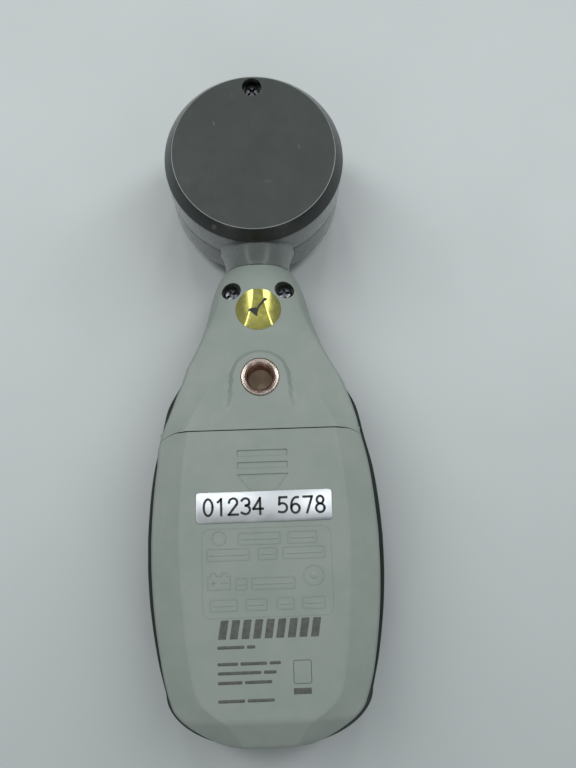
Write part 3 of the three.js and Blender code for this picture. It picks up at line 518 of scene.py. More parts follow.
class Form:
    """One half of the body: a curved section at each y, given as smooth columns over rows."""

    def __init__(self, base, crown, flat, left, right, power, fade):
        self.base, self.crown, self.flat = base, table(crown), table(flat)
        self.left, self.right, self.fade = table(left), table(right), table(fade)
        angles = [math.pi / 2 * i / SIDE_STEPS for i in range(SIDE_STEPS + 1)]
        reach = [math.cos(a) ** (2 / power) if i < SIDE_STEPS else 0.0 for i, a in enumerate(angles)]
        rise = [math.sin(a) ** (2 / power) for a in angles]
        flats = [1 - 2 * i / FLAT_STEPS for i in range(1, FLAT_STEPS)]
        self.hand = np.array([1.0] * (SIDE_STEPS + 1) + [1.0] * len(flats) + [-1.0] * (SIDE_STEPS + 1))
        self.share = np.array([1.0] * (SIDE_STEPS + 1) + flats + [-1.0] * (SIDE_STEPS + 1))
        self.round = self.both_sides(reach, rise, len(flats))
        bend = np.array(soften(REAR_SIDE, 0.07, 6, closed=False))
        run = np.concatenate([[0], np.cumsum(np.hypot(*np.diff(bend, axis=0).T))])
        steps = np.linspace(0, run[-1], SIDE_STEPS + 1)
        self.bent = self.both_sides(*(np.interp(steps, run, bend[:, axis]) for axis in (0, 1)), len(flats))

    @staticmethod
    def both_sides(reach, rise, flats):
        reach, rise = list(reach), list(rise)
        return np.array([reach + [0.0] * flats + reach[::-1], rise + [1.0] * flats + rise[::-1]])

    def at(self, y):
        """Points of shape (rows, columns, 3) for y of shape (rows, columns)."""
        right, left = np.interp(y, TABLE_Y, self.right), np.interp(y, TABLE_Y, self.left)
        width = np.where(self.hand > 0, right, left)
        flat, crown = np.interp(y, TABLE_Y, self.flat), np.interp(y, TABLE_Y, self.crown)
        fade = np.interp(y, TABLE_Y, self.fade)
        reach, rise = (a + (b - a) * fade for a, b in zip(self.round, self.bent))
        x = flat * self.share + (width - flat) * reach * self.hand
        z = self.base + (crown - self.base) * rise
        return np.stack([x, y, z], -1)

    def height(self, x, y):
        """z of the outer face at (x, y)."""
        x, y = np.broadcast_arrays(np.abs(x), y)
        half = SIDE_STEPS + 1 + FLAT_STEPS // 2
        rows = self.at(np.repeat(y.reshape(-1, 1), len(self.share), 1))[:, half::-1]
        found = [np.interp(u, row[:, 0], row[:, 2]) for u, row in zip(x.ravel(), rows)]
        return np.array(found).reshape(x.shape)


REAR = Form(REAR_BASE_Z, rear_height, rear_flat, lambda y: rear_width(y, RIM_LEFT),
            lambda y: rear_width(y, RIM_RIGHT), 2.1,
            lambda y: float(np.interp(y, [p[0] for p in REAR_SIDE_FADE], [p[1] for p in REAR_SIDE_FADE])))
FRONT = Form(FRONT_BASE_Z, front_height, front_flat, lambda y: outline_at(y, FRONT_ROUND),
             lambda y: outline_at(y, FRONT_ROUND), 2.3, lambda y: 0.0)


def bezier(points, count):
    """Points along a Bezier curve of degree 2 or 3."""
    degree = len(points) - 1
    made = []
    for k in range(count + 1):
        t = k / count
        weights = [math.comb(degree, i) * t ** i * (1 - t) ** (degree - i) for i in range(degree + 1)]
        made.append(tuple(sum(w * p[axis] for w, p in zip(weights, points)) for axis in (0, 1)))
    return made


SEAM = bezier([(19, SEAM_Y), (26, SEAM_Y - 0.2), (31, SEAM_Y - 14)], 60)


def seam_rows(form):
    """y of the door seam in each column."""
    y = np.full(len(form.share), SEAM_Y)
    for _ in range(40):
        x = np.abs(form.at(y[None, :])[0, :, 0])
        y = np.interp(x, [0] + [p[0] for p in SEAM], [SEAM_Y] + [p[1] for p in SEAM])
    return y


ARCH_RADII = (6.7, 6.3)


def arch_outline():
    wide, tall = ARCH_RADII
    side = bezier([(14.6, -7.3), (8.4, -6.9), (7.2, -4.6), (wide, BUSH_Y)], 30)
    top = [(wide * math.cos(a), BUSH_Y + tall * math.sin(a)) for a in np.linspace(0, math.pi / 2, 20)[1:]]
    half = [(19, -24), (19, SEAM_Y)] + side + top
    return half + [(-x, y) for x, y in half[::-1]]


def depth_inside(outline, x, y):
    """Distance to the outline, positive inside it."""
    nearest = np.full(x.shape, 1e9)
    inside = np.zeros(x.shape, bool)
    for (ax, ay), (bx, by) in zip(outline, outline[1:] + outline[:1]):
        ex, ey = bx - ax, by - ay
        length = ex * ex + ey * ey
        if length < 1e-9:
            continue
        t = np.clip(((x - ax) * ex + (y - ay) * ey) / length, 0, 1)
        nearest = np.minimum(nearest, np.hypot(x - ax - t * ex, y - ay - t * ey))
        if ey:
            crosses = ((ay > y) != (by > y)) & (x < ax + (y - ay) * ex / ey)
            inside ^= crosses
    return np.where(inside, nearest, -nearest)


def smooth(t):
    t = np.clip(t, 0, 1)
    return t * t * (3 - 2 * t)


def lift_arch(points):
    """Raises the flat round the bush to the plateau, with a soft slope round it."""
    x, y, z = points[..., 0], points[..., 1], points[..., 2]
    near = (y > -14) & (y < 15) & (z > 22)
    share = np.zeros(x.shape)
    share[near] = smooth((depth_inside(arch_outline(), x[near], y[near]) + 0.7) / 1.2)
    points[..., 2] = z + share * np.maximum(0, PLATEAU_Z - z)
    return points


def normals(points):
    across = np.cross(np.gradient(points, axis=1), np.gradient(points, axis=0))
    across /= np.maximum(np.linalg.norm(across, axis=-1, keepdims=True), 1e-9)
    middle = points - np.array([0, 0, 15.0])
    middle[..., 1] = 0
    return across * np.sign(np.sum(across * middle))


def drop(distance, radius):
    """How far a rounded edge of that radius lies below the surface at a distance from the edge."""
    inner = np.clip(radius - distance, 0, radius)
    return radius - np.sqrt(np.maximum(radius ** 2 - inner ** 2, 0))


def along(points, axis):
    """Distance from the first row or column, measured over the surface."""
    steps = np.linalg.norm(np.diff(points, axis=axis), axis=-1)
    zero = np.zeros_like(np.take(steps, [0], axis=axis))
    return np.concatenate([zero, np.cumsum(steps, axis=axis)], axis=axis)


def shell(name, points, wall=WALL, start_edge=0.0, end_edge=0.0, rim_edge=0.15, tail=None):
    """A closed shell under an outer skin, with rounded edges. tail rows follow the skin's last row."""
    facing = normals(points)
    fall = drop(along(points, 1), rim_edge) + drop(along(points[:, ::-1], 1)[:, ::-1], rim_edge)
    if start_edge:
        fall = np.maximum(fall, drop(along(points, 0), start_edge))
    if end_edge:
        fall = np.maximum(fall, drop(along(points[::-1], 0)[::-1], end_edge))
    outer = points - facing * fall[..., None]
    if tail is not None:
        outer = np.concatenate([outer, tail(outer[-1])], 0)
        facing = normals(outer)
        facing[-len(tail(outer[-1])):] = (0, 1, 0)
    inner = outer - facing * wall
    rows, columns = outer.shape[:2]
    size = rows * columns
    k = np.arange(size).reshape(rows, columns)
    quads = np.stack([k[:-1, :-1], k[:-1, 1:], k[1:, 1:], k[1:, :-1]], -1).reshape(-1, 4)
    border = np.concatenate([k[0, :], k[1:, -1], k[-1, -2::-1], k[-2:0:-1, 0]])
    after = np.roll(border, -1)
    sides = np.stack([border, after, after + size, border + size], -1)
    faces = np.concatenate([quads, quads[:, ::-1] + size, sides]).tolist()
    return link(name, np.concatenate([outer.reshape(-1, 3), inner.reshape(-1, 3)]).tolist(), faces,
                COVER_CREASE)


EDGE = [0.0, 0.03, 0.07, 0.12, 0.18, 0.26]
COVER_LENGTH = 43.0


def neck_wall(last):
    """Rows from the end of a cover to the round hole for the neck."""
    angle = np.arctan2(last[:, 2] - AXIS_Z, last[:, 0])
    ring = np.stack([NECK_BORE_R * np.cos(angle), np.full(len(angle), NECK_END_Y),
                     AXIS_Z + NECK_BORE_R * np.sin(angle)], -1)
    start = last.copy()
    start[:, 1] = NECK_END_Y
    return np.stack([start + (ring - start) * t for t in (0.1, 0.5, 1.0)])


def build_rear_cover():
    seam = seam_rows(REAR)
    across = np.abs(REAR.at(seam[None, :])[0, :, 0])
    seam = seam + np.interp(across, (18, 22), (SEAM_GAP, SEAM_END_GAP))
    edge = np.array(EDGE) / COVER_LENGTH
    share = np.concatenate([edge, np.linspace(0.02, 1 - 0.02, SKIN_ROWS), 1 - edge[::-1]])
    y = seam[None, :] + (NECK_END_Y - seam[None, :]) * share[:, None]
    cover = shell("rear_cover", lift_arch(REAR.at(y)), start_edge=0.14, end_edge=0.16, tail=neck_wall)
    holes = [turned("hole", [(BUSH_HOLE_R, 26), (BUSH_HOLE_R, 36)], 0, BUSH_Y, 96)]
    for side in (-1, 1):
        holes.append(turned("hole", [(WELL_R, 20), (WELL_R, 36)], side * NECK_SCREW[0], NECK_SCREW[1], 72))
    return carved(cover, holes, crease=COVER_CREASE)


def screw_well(name, x, y, top, floor, bottom, outer):
    """The round wall under a screw hole, whose rim follows the face above it."""
    spots = circle(1.0, sides=72)
    rims = [[x + r * u, y + r * v, top(x + r * u, y + r * v) - 0.5]
            for r in (outer, WELL_R) for u, v in spots]
    count = len(spots)
    rings = [
        [(x + outer * u, y + outer * v, bottom) for u, v in spots],
        rims[:count],
        rims[count:],
        [(x + WELL_R * u, y + WELL_R * v, floor) for u, v in spots],
        [(x + 1.2 * u, y + 1.2 * v, floor) for u, v in spots],
        [(x + 1.2 * u, y + 1.2 * v, bottom) for u, v in spots],
    ]
    return lofted(name, rings, wrap=True)


EMBOSS_Z = PLATEAU_Z - 0.28


def build_door():
    seam = seam_rows(REAR)
    length = seam[None, :] - REAR_END_Y
    near = np.array(EDGE)[:, None] / length
    v = np.linspace(0, 1, SKIN_ROWS)[1:, None]
    easing = 1 - (1 - v) ** 1.6
    share = np.concatenate([near, near[-1:] + (1 - near[-1:]) * easing])
    door = shell("battery_cover", REAR.at(seam[None, :] - length * share), start_edge=0.18)
    cutters = [pit(rounded_box(11.4, 1.3, 0.1, 0, y, 2), EMBOSS_Z, PLATEAU_Z) for y in (-14.9, -17.7)]
    arrow = [(-5.8, -19.8), (0, -27), (5.8, -19.8)]
    cutters.append(pit(soften(arrow, 0.15, 2), EMBOSS_Z, PLATEAU_Z))
    return carved(door, cutters, crease=COVER_CREASE)


def build_front_cover():
    y0, y1, end = BODY_END_Y, NECK_END_Y, 14.5
    y_rows = np.concatenate([y0 + end * np.linspace(0, 1, 60) ** 2, np.linspace(y0 + end, y1 - 0.3, 150)[1:],
                             y1 - np.array(EDGE[::-1])])
    points = FRONT.at(np.repeat(y_rows[:, None], len(FRONT.share), 1))
    return shell("front_cover", points, end_edge=0.26, tail=neck_wall)


def build_rim_flange():
    """Flat rim inside the bottom end of the front cover, which closes the step to the door."""
    side = [(outline_at(y, FRONT_ROUND) - 0.5, y) for y in np.linspace(-66, -82.2, 40)]
    outer = side + [(-x, y) for x, y in side[::-1]]
    inner = inset(outer[::-1], 3.9)[::-1]
    inner[0], inner[-1] = (outer[0][0] - 3.9, outer[0][1]), (outer[-1][0] + 3.9, outer[-1][1])
    return slab("rim_flange", outer + inner[::-1], 13.2, FRONT_BASE_Z - 0.05, 0.05, 1)


WINDOW = (36.0, 22.0, -27.0)
RECESS = (42.0, 26.0, 4.0, -54.5)
KEY_HOLE = (6.9, 4.5)
KEYS = {"power": (-11, -48), "hold": (11, -48), "range": (-11, -61), "units": (11, -61)}

rear_cover = build_rear_cover()
place(rear_cover, "meter", "light_grey_abs", LIGHT_GREY, stands_for=["rear_shell"])
for side, hand in ((-1, "left"), (1, "right")):
    well = screw_well(f"neck_well_{hand}", side * NECK_SCREW[0], NECK_SCREW[1], REAR.height, 20.6, 15.3, 3.1)
    place(well, "meter", "light_grey_abs", LIGHT_GREY)
door = place(build_door(), "door", "light_grey_abs", LIGHT_GREY, stands_for=["battery_door"])

front_cover = build_front_cover()
openings = [slab("cut", rounded_box(WINDOW[0], WINDOW[1], 1.5, 0, WINDOW[2]), -2, 4, 0.01)]
openings += [slab("cut", ellipse(*KEY_HOLE, *spot), -2, 4, 0.01) for spot in KEYS.values()]
carved(front_cover, [pit(rounded_box(*RECESS[:3], 0, RECESS[3]), 0.7, 0.0, 0.25)], crease=COVER_CREASE)
carved(front_cover, openings, crease=COVER_CREASE)
place(front_cover, "meter", "dark_grey_abs", DARK_GREY, stands_for=["front_shell"])
place(build_rim_flange(), "meter", "dark_grey_abs", DARK_GREY)


# ---------- Fasteners ----------
SCREW_R, SCREW_CROWN = 2, 1.4  # radius of a head and its height


def screw(name, x, y, seat, length, turn):
    """Cross-head screw with a rounded crown."""
    crown = seat + SCREW_CROWN
    head = [(0.9, seat - length), (1.0, seat - length + 0.5), (1.0, seat), (SCREW_R - 0.06, seat),
            (SCREW_R, seat + 0.08)]
    arc = [(SCREW_R * math.cos(a) ** 0.6, seat + 0.85 + (SCREW_CROWN - 0.85) * math.sin(a))
           for a in np.linspace(0, math.pi / 2 * 0.98, 14)]
    body = turned(name, head + arc, x, y, 64)
    blades = []
    for k in range(2):
        a = turn + k * math.pi / 2
        wide, thin, deep = SCREW_R * 0.72, 0.33, 1.1
        quad = [(-wide, -thin), (wide, -thin), (wide, thin), (-wide, thin)]
        low = [(u * 0.42, v * 0.7) for u, v in quad]
        spin = lambda points: [(x + u * math.cos(a) - v * math.sin(a), y + u * math.sin(a) + v * math.cos(a))
                               for u, v in points]
        high = [(u * 1.08, v * 1.1) for u, v in quad]
        blades.append(lofted("blade", [level(spin(low), crown - deep), level(spin(quad), crown - 0.12),
                                       level(spin(high), crown + 0.3)]))
    for blade in blades:
        carved(body, [blade])
    return body


SCREWS = [("head_screw", 0, HEAD_SCREW_Y, 28.5, 17, 0.75, "head")]
for side, hand, turns in ((-1, "left", (0.5, 0.2)), (1, "right", (0.15, 0.9))):
    SCREWS.append((f"neck_screw_{hand}", side * NECK_SCREW[0], NECK_SCREW[1], 20.9, 13, turns[0], "meter"))
    SCREWS.append((f"case_screw_{hand}", side * CASE_SCREW[0], CASE_SCREW[1], 18.4, 11, turns[1], "meter"))
for name, x, y, seat, length, turn, body in SCREWS:
    cross = screw(name + "_cross", x, y, seat, length, turn)
    place(cross, body, "black_steel", BLACK_STEEL, stands_for=[name])


# ---------- Tripod bush ----------
def paint_by_place(obj, choose):
    for face in obj.data.polygons:
        face.material_index = choose(face.center / MM, face.normal)


def build_bush():
    """Knurled, threaded bush with turning marks and a drill point on its floor."""
    sides, top, floor, tip = 240, PLATEAU_Z - 0.08, 25.3, 23.2
    turn = 2 * math.pi / sides
    ring = lambda radius, z: [(radius(i) * math.cos(turn * i), BUSH_Y + radius(i) * math.sin(turn * i), z(i))
                              for i in range(sides)]
    plain = lambda r, z: ring(lambda i: r, lambda i: z)
    tooth = lambda i: 0.5 + 0.5 * math.cos(2 * math.pi * (i % 5) / 5)
    knurled = lambda r, z: ring(lambda i: r - 0.1 * tooth(i), lambda i: z)
    rings = [plain(4.2, 22.4), knurled(4.55, 22.7), knurled(4.57, top - 0.3), knurled(4.42, top - 0.06),
             plain(4.2, top - 0.02), plain(4.12, top - 0.14), plain(3.94, top - 0.16),
             plain(3.84, top - 0.04), plain(3.7, top), plain(3.56, top - 0.06), plain(3.34, top - 0.4)]
    pitch, rows = 1.27, 64
    for k in range(rows + 1):
        z = top - 0.4 - (top - 0.4 - floor - 0.35) * k / rows
        fade = min(1.0, (top - 0.4 - z) / 0.5, (z - floor - 0.4) / 0.6)
        wave = lambda i, z=z: abs(((z / pitch + i / sides) % 1.0) * 2 - 1)
        thread = lambda i, f=fade, w=wave: 3.28 - 0.42 * max(0.0, f) * min(1, 1.25 * w(i))
        rings.append(ring(thread, lambda i, z=z: z))
    rings.append(plain(2.95, floor + 0.06))
    marks = 60
    for k in range(marks):
        share = k / (marks - 1)
        r = 2.9 - 2.45 * share
        rings.append(plain(r, floor - (floor - tip) * 0.8 * share + 0.012 * math.sin(k * math.pi / 2)))
    rings += [plain(0.4, tip + 0.2), plain(0.02, tip)]
    return lofted("threaded_bush", rings, crease=35)


def bush_zone(point, normal):
    radius = math.hypot(point.x, point.y - BUSH_Y)
    # Zone 1, the floor of the bore, is painted lighter as painted light.
    if point.z < 25.4 and radius < 2.96:
        return 1
    # Zone 2, the thread wall, is painted darker as painted shade.
    return 2 if point.z < PLATEAU_Z - 0.45 and radius < 3.36 else 0


bush = place(build_bush(), "meter", "copper_nickel", COPPER_NICKEL, BUSH_FLOOR_LIGHTENED, BUSH_WALL_SHADED,
             stands_for=["tripod_bush"])
paint_by_place(bush, bush_zone)


# ---------- Inspection sticker ----------
def on_rear(name, outline, thickness, lift, rings=24):
    """A thin plate that follows the rear face of the body."""
    mx, my = (sum(p[k] for p in outline) / len(outline) for k in (0, 1))
    shares = [k / rings for k in range(1, rings + 1)]
    layers = [[(mx + (x - mx) * share, my + (y - my) * share) for x, y in outline] for share in shares]
    height = lambda x, y: float(REAR.height(np.array(x), np.array(y)))
    top = [[(x, y, height(x, y) + lift + thickness) for x, y in layer] for layer in layers]
    low = [[(x, y, height(x, y) + lift) for x, y in layer] for layer in layers[::-1]]
    return lofted(name, top + low)


STICKER_TILT = math.radians(15)


def tick_outline():
    """A plain tick mark in a ring's middle, tilted like the sticker."""
    stroke = [(-2.6, 0.1), (-0.9, -1.9), (2.9, 1.9), (2.3, 2.5), (-0.85, -0.75), (-2.0, 0.7)]
    c, s = math.cos(STICKER_TILT), math.sin(STICKER_TILT)
    return [(x * c - y * s, STICKER_Y + x * s + y * c) for x, y in stroke]


sticker = on_rear("foil_sticker", circle(STICKER_R, 0, STICKER_Y, 96), 0.06, 0.05)
place(sticker, "meter", "gold_foil", GOLD_FOIL, stands_for=["inspection_sticker"])
tick = on_rear("sticker_tick", soften(tick_outline(), 0.15, 2), 0.02, 0.1, 6)
place(tick, "meter", "gold_foil", FOIL_INK)


# ---------- Battery door marks ----------
def dashes(name, rows, low, high, body_look, slot, edge=0.06):
    """Rows of plain bars: each row is (y, height, [(x, length), ...])."""
    parts = []
    for y, height, bars in rows:
        for x, length in bars:
            bar = rounded_box(length, height, min(0.3, height / 2.2), x + length / 2, y, 4)
            parts.append(slab("dash", bar, low, high, edge, 2))
    return place(joined(name, parts), "door", slot, body_look)


def raised_line(name, outline, width, low, high):
    """Closed band of that width inside an outline, with sloping sides."""
    slope = width * 0.25
    edges = ((outline, low), (inset(outline, slope), high), (inset(outline, width - slope), high),
             (inset(outline, width), low))
    return lofted(name, [level(loop, z) for loop, z in edges], wrap=True)


LABEL_TOP = PLATEAU_Z + 0.2
label = slab("label_plate", rounded_box(31, 7, 0.9, 0.1, -27.1, 8), PLATEAU_Z + 0.01, LABEL_TOP, 0.08, 3)
place(label, "door", "silver_foil", SILVER_FOIL, stands_for=["serial_label"])

DIGIT_STROKES = {
    "0": "abcdef", "1": "bc", "2": "abged", "3": "abgcd", "4": "fgbc", "5": "afgcd", "6": "afgedc",
    "7": "abc", "8": "abcdefg", "9": "abcdfg",
}


def seven_strokes(text, x, y, width, height, pitch, pen, low, high, mirror=1):
    """Plain seven-stroke digits as thin raised bars."""
    w, h = width / 2, height / 2
    places = {"a": (0, h, 1), "b": (w, h / 2, 0), "c": (w, -h / 2, 0), "d": (0, -h, 1), "e": (-w, -h / 2, 0),
              "f": (-w, h / 2, 0), "g": (0, 0, 1)}
    parts = []
    for i, digit in enumerate(text):
        if digit == " ":
            continue
        for stroke in DIGIT_STROKES[digit]:
            sx, sy, flat = places[stroke]
            size = (width - pen * 0.2, pen) if flat else (pen, h - pen * 0.2)
            centre = (x + mirror * (i * pitch + sx), y + sy)
            parts.append(slab("stroke", rounded_box(*size, pen * 0.3, *centre, 2), low, high, 0.004, 1))
    return parts


DIGIT_PATHS = {  # for a height of 1
    "0": [ellipse(0.25, 0.46, 0, 0, 40) + [(0.25, 0.0)]],
    "1": [[(-0.16, 0.28), (0.03, 0.46), (0.03, -0.46)]],
    "2": [bezier([(-0.23, 0.24), (-0.2, 0.56), (0.3, 0.56), (0.23, 0.16)], 14)
          + [(-0.25, -0.44), (0.27, -0.44)]],
    "3": [bezier([(-0.22, 0.32), (-0.1, 0.54), (0.3, 0.5), (0.2, 0.12)], 10) + [(0.0, 0.04)]
          + bezier([(0.1, 0.02), (0.4, -0.1), (0.2, -0.64), (-0.24, -0.34)], 12)],
    "4": [[(0.12, -0.46), (0.12, 0.44), (-0.27, -0.16), (0.28, -0.16)]],
    "5": [[(0.22, 0.44), (-0.18, 0.44), (-0.21, 0.04)]
          + bezier([(-0.12, 0.1), (0.36, 0.2), (0.36, -0.58), (-0.24, -0.36)], 14)],
    "6": [bezier([(0.17, 0.42), (-0.1, 0.48), (-0.26, 0.2), (-0.23, -0.2)], 14),
          ellipse(0.23, 0.25, 0, -0.2, 32) + [(0.23, -0.2)]],
    "7": [[(-0.24, 0.44), (0.25, 0.44), (-0.05, -0.46)]],
    "8": [ellipse(0.19, 0.21, 0, 0.24, 28) + [(0.19, 0.24)],
          ellipse(0.24, 0.24, 0, -0.22, 28) + [(0.24, -0.22)]],
}


def font_digits(name, text, x, y, height, pitch, low, high):
    """Upright digits with rounded strokes, drawn as closed bands along Bezier paths."""
    parts = []
    for i, digit in enumerate(text):
        for path in DIGIT_PATHS.get(digit, ()):
            route = [(x + i * pitch + u * height, y + v * height) for u, v in path]
            parts += ribbon(route, 0.068 * height, low, high)
    return joined(name, parts)


def ribbon(path, half, low, high):
    """A flat band of half width `half` along a path in XY, with a square joint at each sharp corner."""
    runs = [[Vector(path[0])]]
    for i in range(1, len(path)):
        point = Vector(path[i])
        if (point - runs[-1][-1]).length < 1e-5:
            continue
        runs[-1].append(point)
        if i + 1 < len(path):
            ahead = Vector(path[i + 1]) - point
            if ahead.length > 1e-5 and (point - runs[-1][-2]).angle(ahead) > 0.6:
                runs.append([point])
    parts = []
    for run in runs:
        if len(run) < 2:
            continue
        run[0] = run[0] - (run[1] - run[0]).normalized() * half * 0.8
        run[-1] = run[-1] + (run[-1] - run[-2]).normalized() * half * 0.8
        rings = []
        for i, point in enumerate(run):
            along_run = (run[min(i + 1, len(run) - 1)] - run[max(i - 1, 0)]).normalized()
            n = Vector((-along_run.y, along_run.x)) * half
            left, right = point + n, point - n
            rings.append([(*left, low), (*left, high), (*right, high), (*right, low)])
        parts.append(lofted("ribbon", rings))
    return parts


digits = font_digits("label_digits", "01234 5678", -12.6, -27.0, 4.0, 2.83, LABEL_TOP - 0.01,
                     LABEL_TOP + 0.02)
place(digits, "door", "silver_foil", FOIL_INK)

RELIEF = (PLATEAU_Z - 0.1, PLATEAU_Z + 0.1)
RELIEF_ROWS = [
    (-34.2, 2.9, [(-6.1, 9.8), (5.1, 6.8)]),
    (-37.6, 2.9, [(-13.2, 9.8), (-1.7, 4.5), (3.9, 9.7)]),
    (-44.1, 2.8, [(-6.9, 2.8), (-3.3, 10.0)]),
    (-48.6, 2.8, [(-12.7, 6.4), (-4.7, 5.0), (2.2, 4.1), (7.9, 5.3)]),
]
relief = []
for y, height, bars in RELIEF_ROWS:
    for x, length in bars:
        middle = x + length / 2
        relief.append(raised_line("line", rounded_box(length, height, 0.5, middle, y, 4), 0.32, *RELIEF))
        relief.append(slab("dash", rounded_box(length - 1.5, 0.5, 0.2, middle, y, 3), *RELIEF, 0.06, 2))
panel = rounded_box(29.4, 19.8, 2.0, 0.4, -41.6, 6)
relief.append(raised_line("line", panel, 0.25, PLATEAU_Z - 0.1, PLATEAU_Z + 0.06))
relief.append(raised_line("line", circle(1.7, -10.3, -33.9, 40), 0.32, *RELIEF))
relief.append(raised_line("line", circle(2.4, 10.8, -42.7, 56), 0.4, *RELIEF))
relief.append(slab("dot", circle(0.8, 10.8, -42.7, 32), *RELIEF, 0.06, 2))
BATTERY_SIGN = [(-13.1, -45.3), (-7.8, -45.3), (-7.8, -42.1), (-8.6, -42.1), (-8.6, -41.4), (-9.9, -41.4),
                (-9.9, -42.1), (-11.1, -42.1), (-11.1, -41.4), (-12.3, -41.4), (-12.3, -42.1), (-13.1, -42.1)]
relief.append(raised_line("line", BATTERY_SIGN, 0.26, *RELIEF))
for x, y, w, h in ((-11.7, -43.7, 1.5, 0.3), (-11.7, -43.7, 0.3, 1.5), (-9.2, -43.7, 1.7, 0.3)):
    relief.append(slab("stroke", rounded_box(w, h, 0.08, x, y, 2), *RELIEF, 0.05, 1))
place(joined("door_relief", relief), "door", "light_grey_abs", LIGHT_GREY)

PRINT = (PLATEAU_Z - 0.02, PLATEAU_Z + 0.015)


def slanted_blocks():
    """A plain row of slanted blocks in the place of the printed mark."""
    parts = []
    for i in range(9):
        x, lean = -10.9 + i * 2.56, 0.7
        quad = [(x, -55.9), (x + 1.75, -55.9), (x + 1.75 + lean, -51.8), (x + lean, -51.8)]
        parts.append(slab("block", soften(quad, 0.15, 2), *PRINT, 0.005, 1))
    return joined("printed_blocks", parts)


place(slanted_blocks(), "door", "light_grey_abs", INK)
dashes("printed_lines", [
    (-57.6, 0.7, [(-11.1, 6.0), (-4.6, 1.9)]),
    (-61.1, 0.7, [(-11.1, 4.5), (-6.1, 5.9), (0.3, 2.5)]),
    (-63.0, 0.7, [(-11.1, 9.6), (-1.0, 2.8)]),
    (-65.0, 0.7, [(-11.1, 5.4), (-5.2, 6.0)]),
    (-68.8, 0.7, [(-11.1, 5.9), (-4.7, 5.9)]),
], *PRINT, INK, "light_grey_abs", 0.005)
marks = [raised_line("line", rounded_box(4.1, 5.1, 0.5, 7.5, -63.2, 4), 0.24, *PRINT)]
marks.append(slab("bar", rounded_box(3.9, 1.3, 0.1, 7.4, -67.2, 2), *PRINT, 0.005, 1))
place(joined("printed_sign", marks), "door", "light_grey_abs", INK)

pad = slab("door_pad", rounded_box(22, 34, 1.5, 0, -47, 6), 28.95, 29.62, 0.2, 4)
place(pad, "door", "foam", FOAM, stands_for=["battery_pad"])


# ---------- Tray, ledge and battery ----------
TRAY_Y = -42.5
LEDGE_TOP = 18.1


def build_tray():
    """Battery tray and the ledge round it that the door slides along."""
    edge = lambda y: min(21.5, rear_width(y - 1, RIM_RIGHT) - 3.6)
    stops = [-13.4, -20, -40, -60, -66, -70, -72, -74, -76.8]
    plate = [(-edge(y), y) for y in stops] + [(edge(y), y) for y in stops[::-1]]
    tray = slab("tray_moulding", plate, 16.5, LEDGE_TOP, 0.25, 3)
    block = slab("part", rounded_box(31.2, 58.2, 0.8, 0, TRAY_Y), 9.3, 27.6, 0.3)
    bridge = slab("part", rounded_box(28, 6.4, 0.4, 0, -10.4), REAR_BASE_Z, LEDGE_TOP, 0.2)
    carved(tray, [block], "UNION")
    carved(tray, [bridge], "UNION")
    for tool in (slab("cut", rounded_box(28, 55, 0.6, 0, TRAY_Y), 10.9, 41, 0.2),
                 slab("cut", rounded_box(10, 6, 0.8, 0, -13.4), 19, 31, 0.2),
                 slab("cut", rounded_box(14, 3, 0.5, 0, -11.6), 12, 20, 0.1)):
        carved(tray, [tool])
    holes = [turned("hole", [(1.3, 10), (1.3, 21)], side * CASE_SCREW[0], CASE_SCREW[1], 40)
             for side in (-1, 1)]
    carved(tray, holes)
    ribs = [slab("rib", rounded_box(1.0, 3.0, 0.3, x, -72.6), 18.0, 20.4, 0.2) for x in (-8, 0, 8)]
    return carved(tray, ribs, "UNION")


place(build_tray(), "meter", "light_grey_abs", DARK_GREY)

BATTERY_WIDTH, BATTERY_LENGTH, BATTERY_Y = 26.5, 48.5, -45.4
TERMINAL_X, TERMINAL_Z = 6.35, 19.95
BATTERY_PRINT = (28.6, 28.74)
can_outline = rounded_box(BATTERY_WIDTH, BATTERY_LENGTH, 2.2, 0, BATTERY_Y, 8)
can = slab("battery_can", can_outline, 11.2, 28.7, 0.7, 5)
place(can, "meter", "cell_jacket", JACKET, stands_for=["battery_9v"])
bands = [rounded_box(25.0, y1 - y0, 0.2, 0, (y0 + y1) / 2, 2) for y0, y1 in ((-66.5, -64.2), (-27.4, -26.2))]
bands += [rounded_box(13 - 1.6 * k, 1.4, 0.3, -3.5, -40 - 3.1 * k, 3) for k in range(5)]
bands = [slab("band", outline, *BATTERY_PRINT, 0.02, 1) for outline in bands]
place(joined("battery_print", bands), "meter", "cell_jacket", SILVER_FOIL)
end_y = BATTERY_Y + BATTERY_LENGTH / 2


def along_y(name, profile, x, z, sides=48):
    """Turned about a line parallel to Y; a profile point is (radius, y)."""
    return lofted(name, [[(x + u, y, z + v) for u, v in circle(r, sides=sides)] for r, y in profile])


STUD = [(2.9, -0.4), (2.9, 0.5), (2.45, 0.9), (2.45, 1.8), (2.75, 2.3), (2.4, 2.7)]
CUP = [(3.9, -0.4), (3.9, 2.4), (3.6, 2.7), (3.05, 2.7), (2.9, 2.4), (2.9, 0.9)]
terminals = [along_y("terminal", [(r, end_y + d) for r, d in profile], x, TERMINAL_Z)
             for profile, x in ((STUD, -TERMINAL_X), (CUP, TERMINAL_X))]
place(joined("battery_studs", terminals), "meter", "bright_steel", BRIGHT_STEEL)

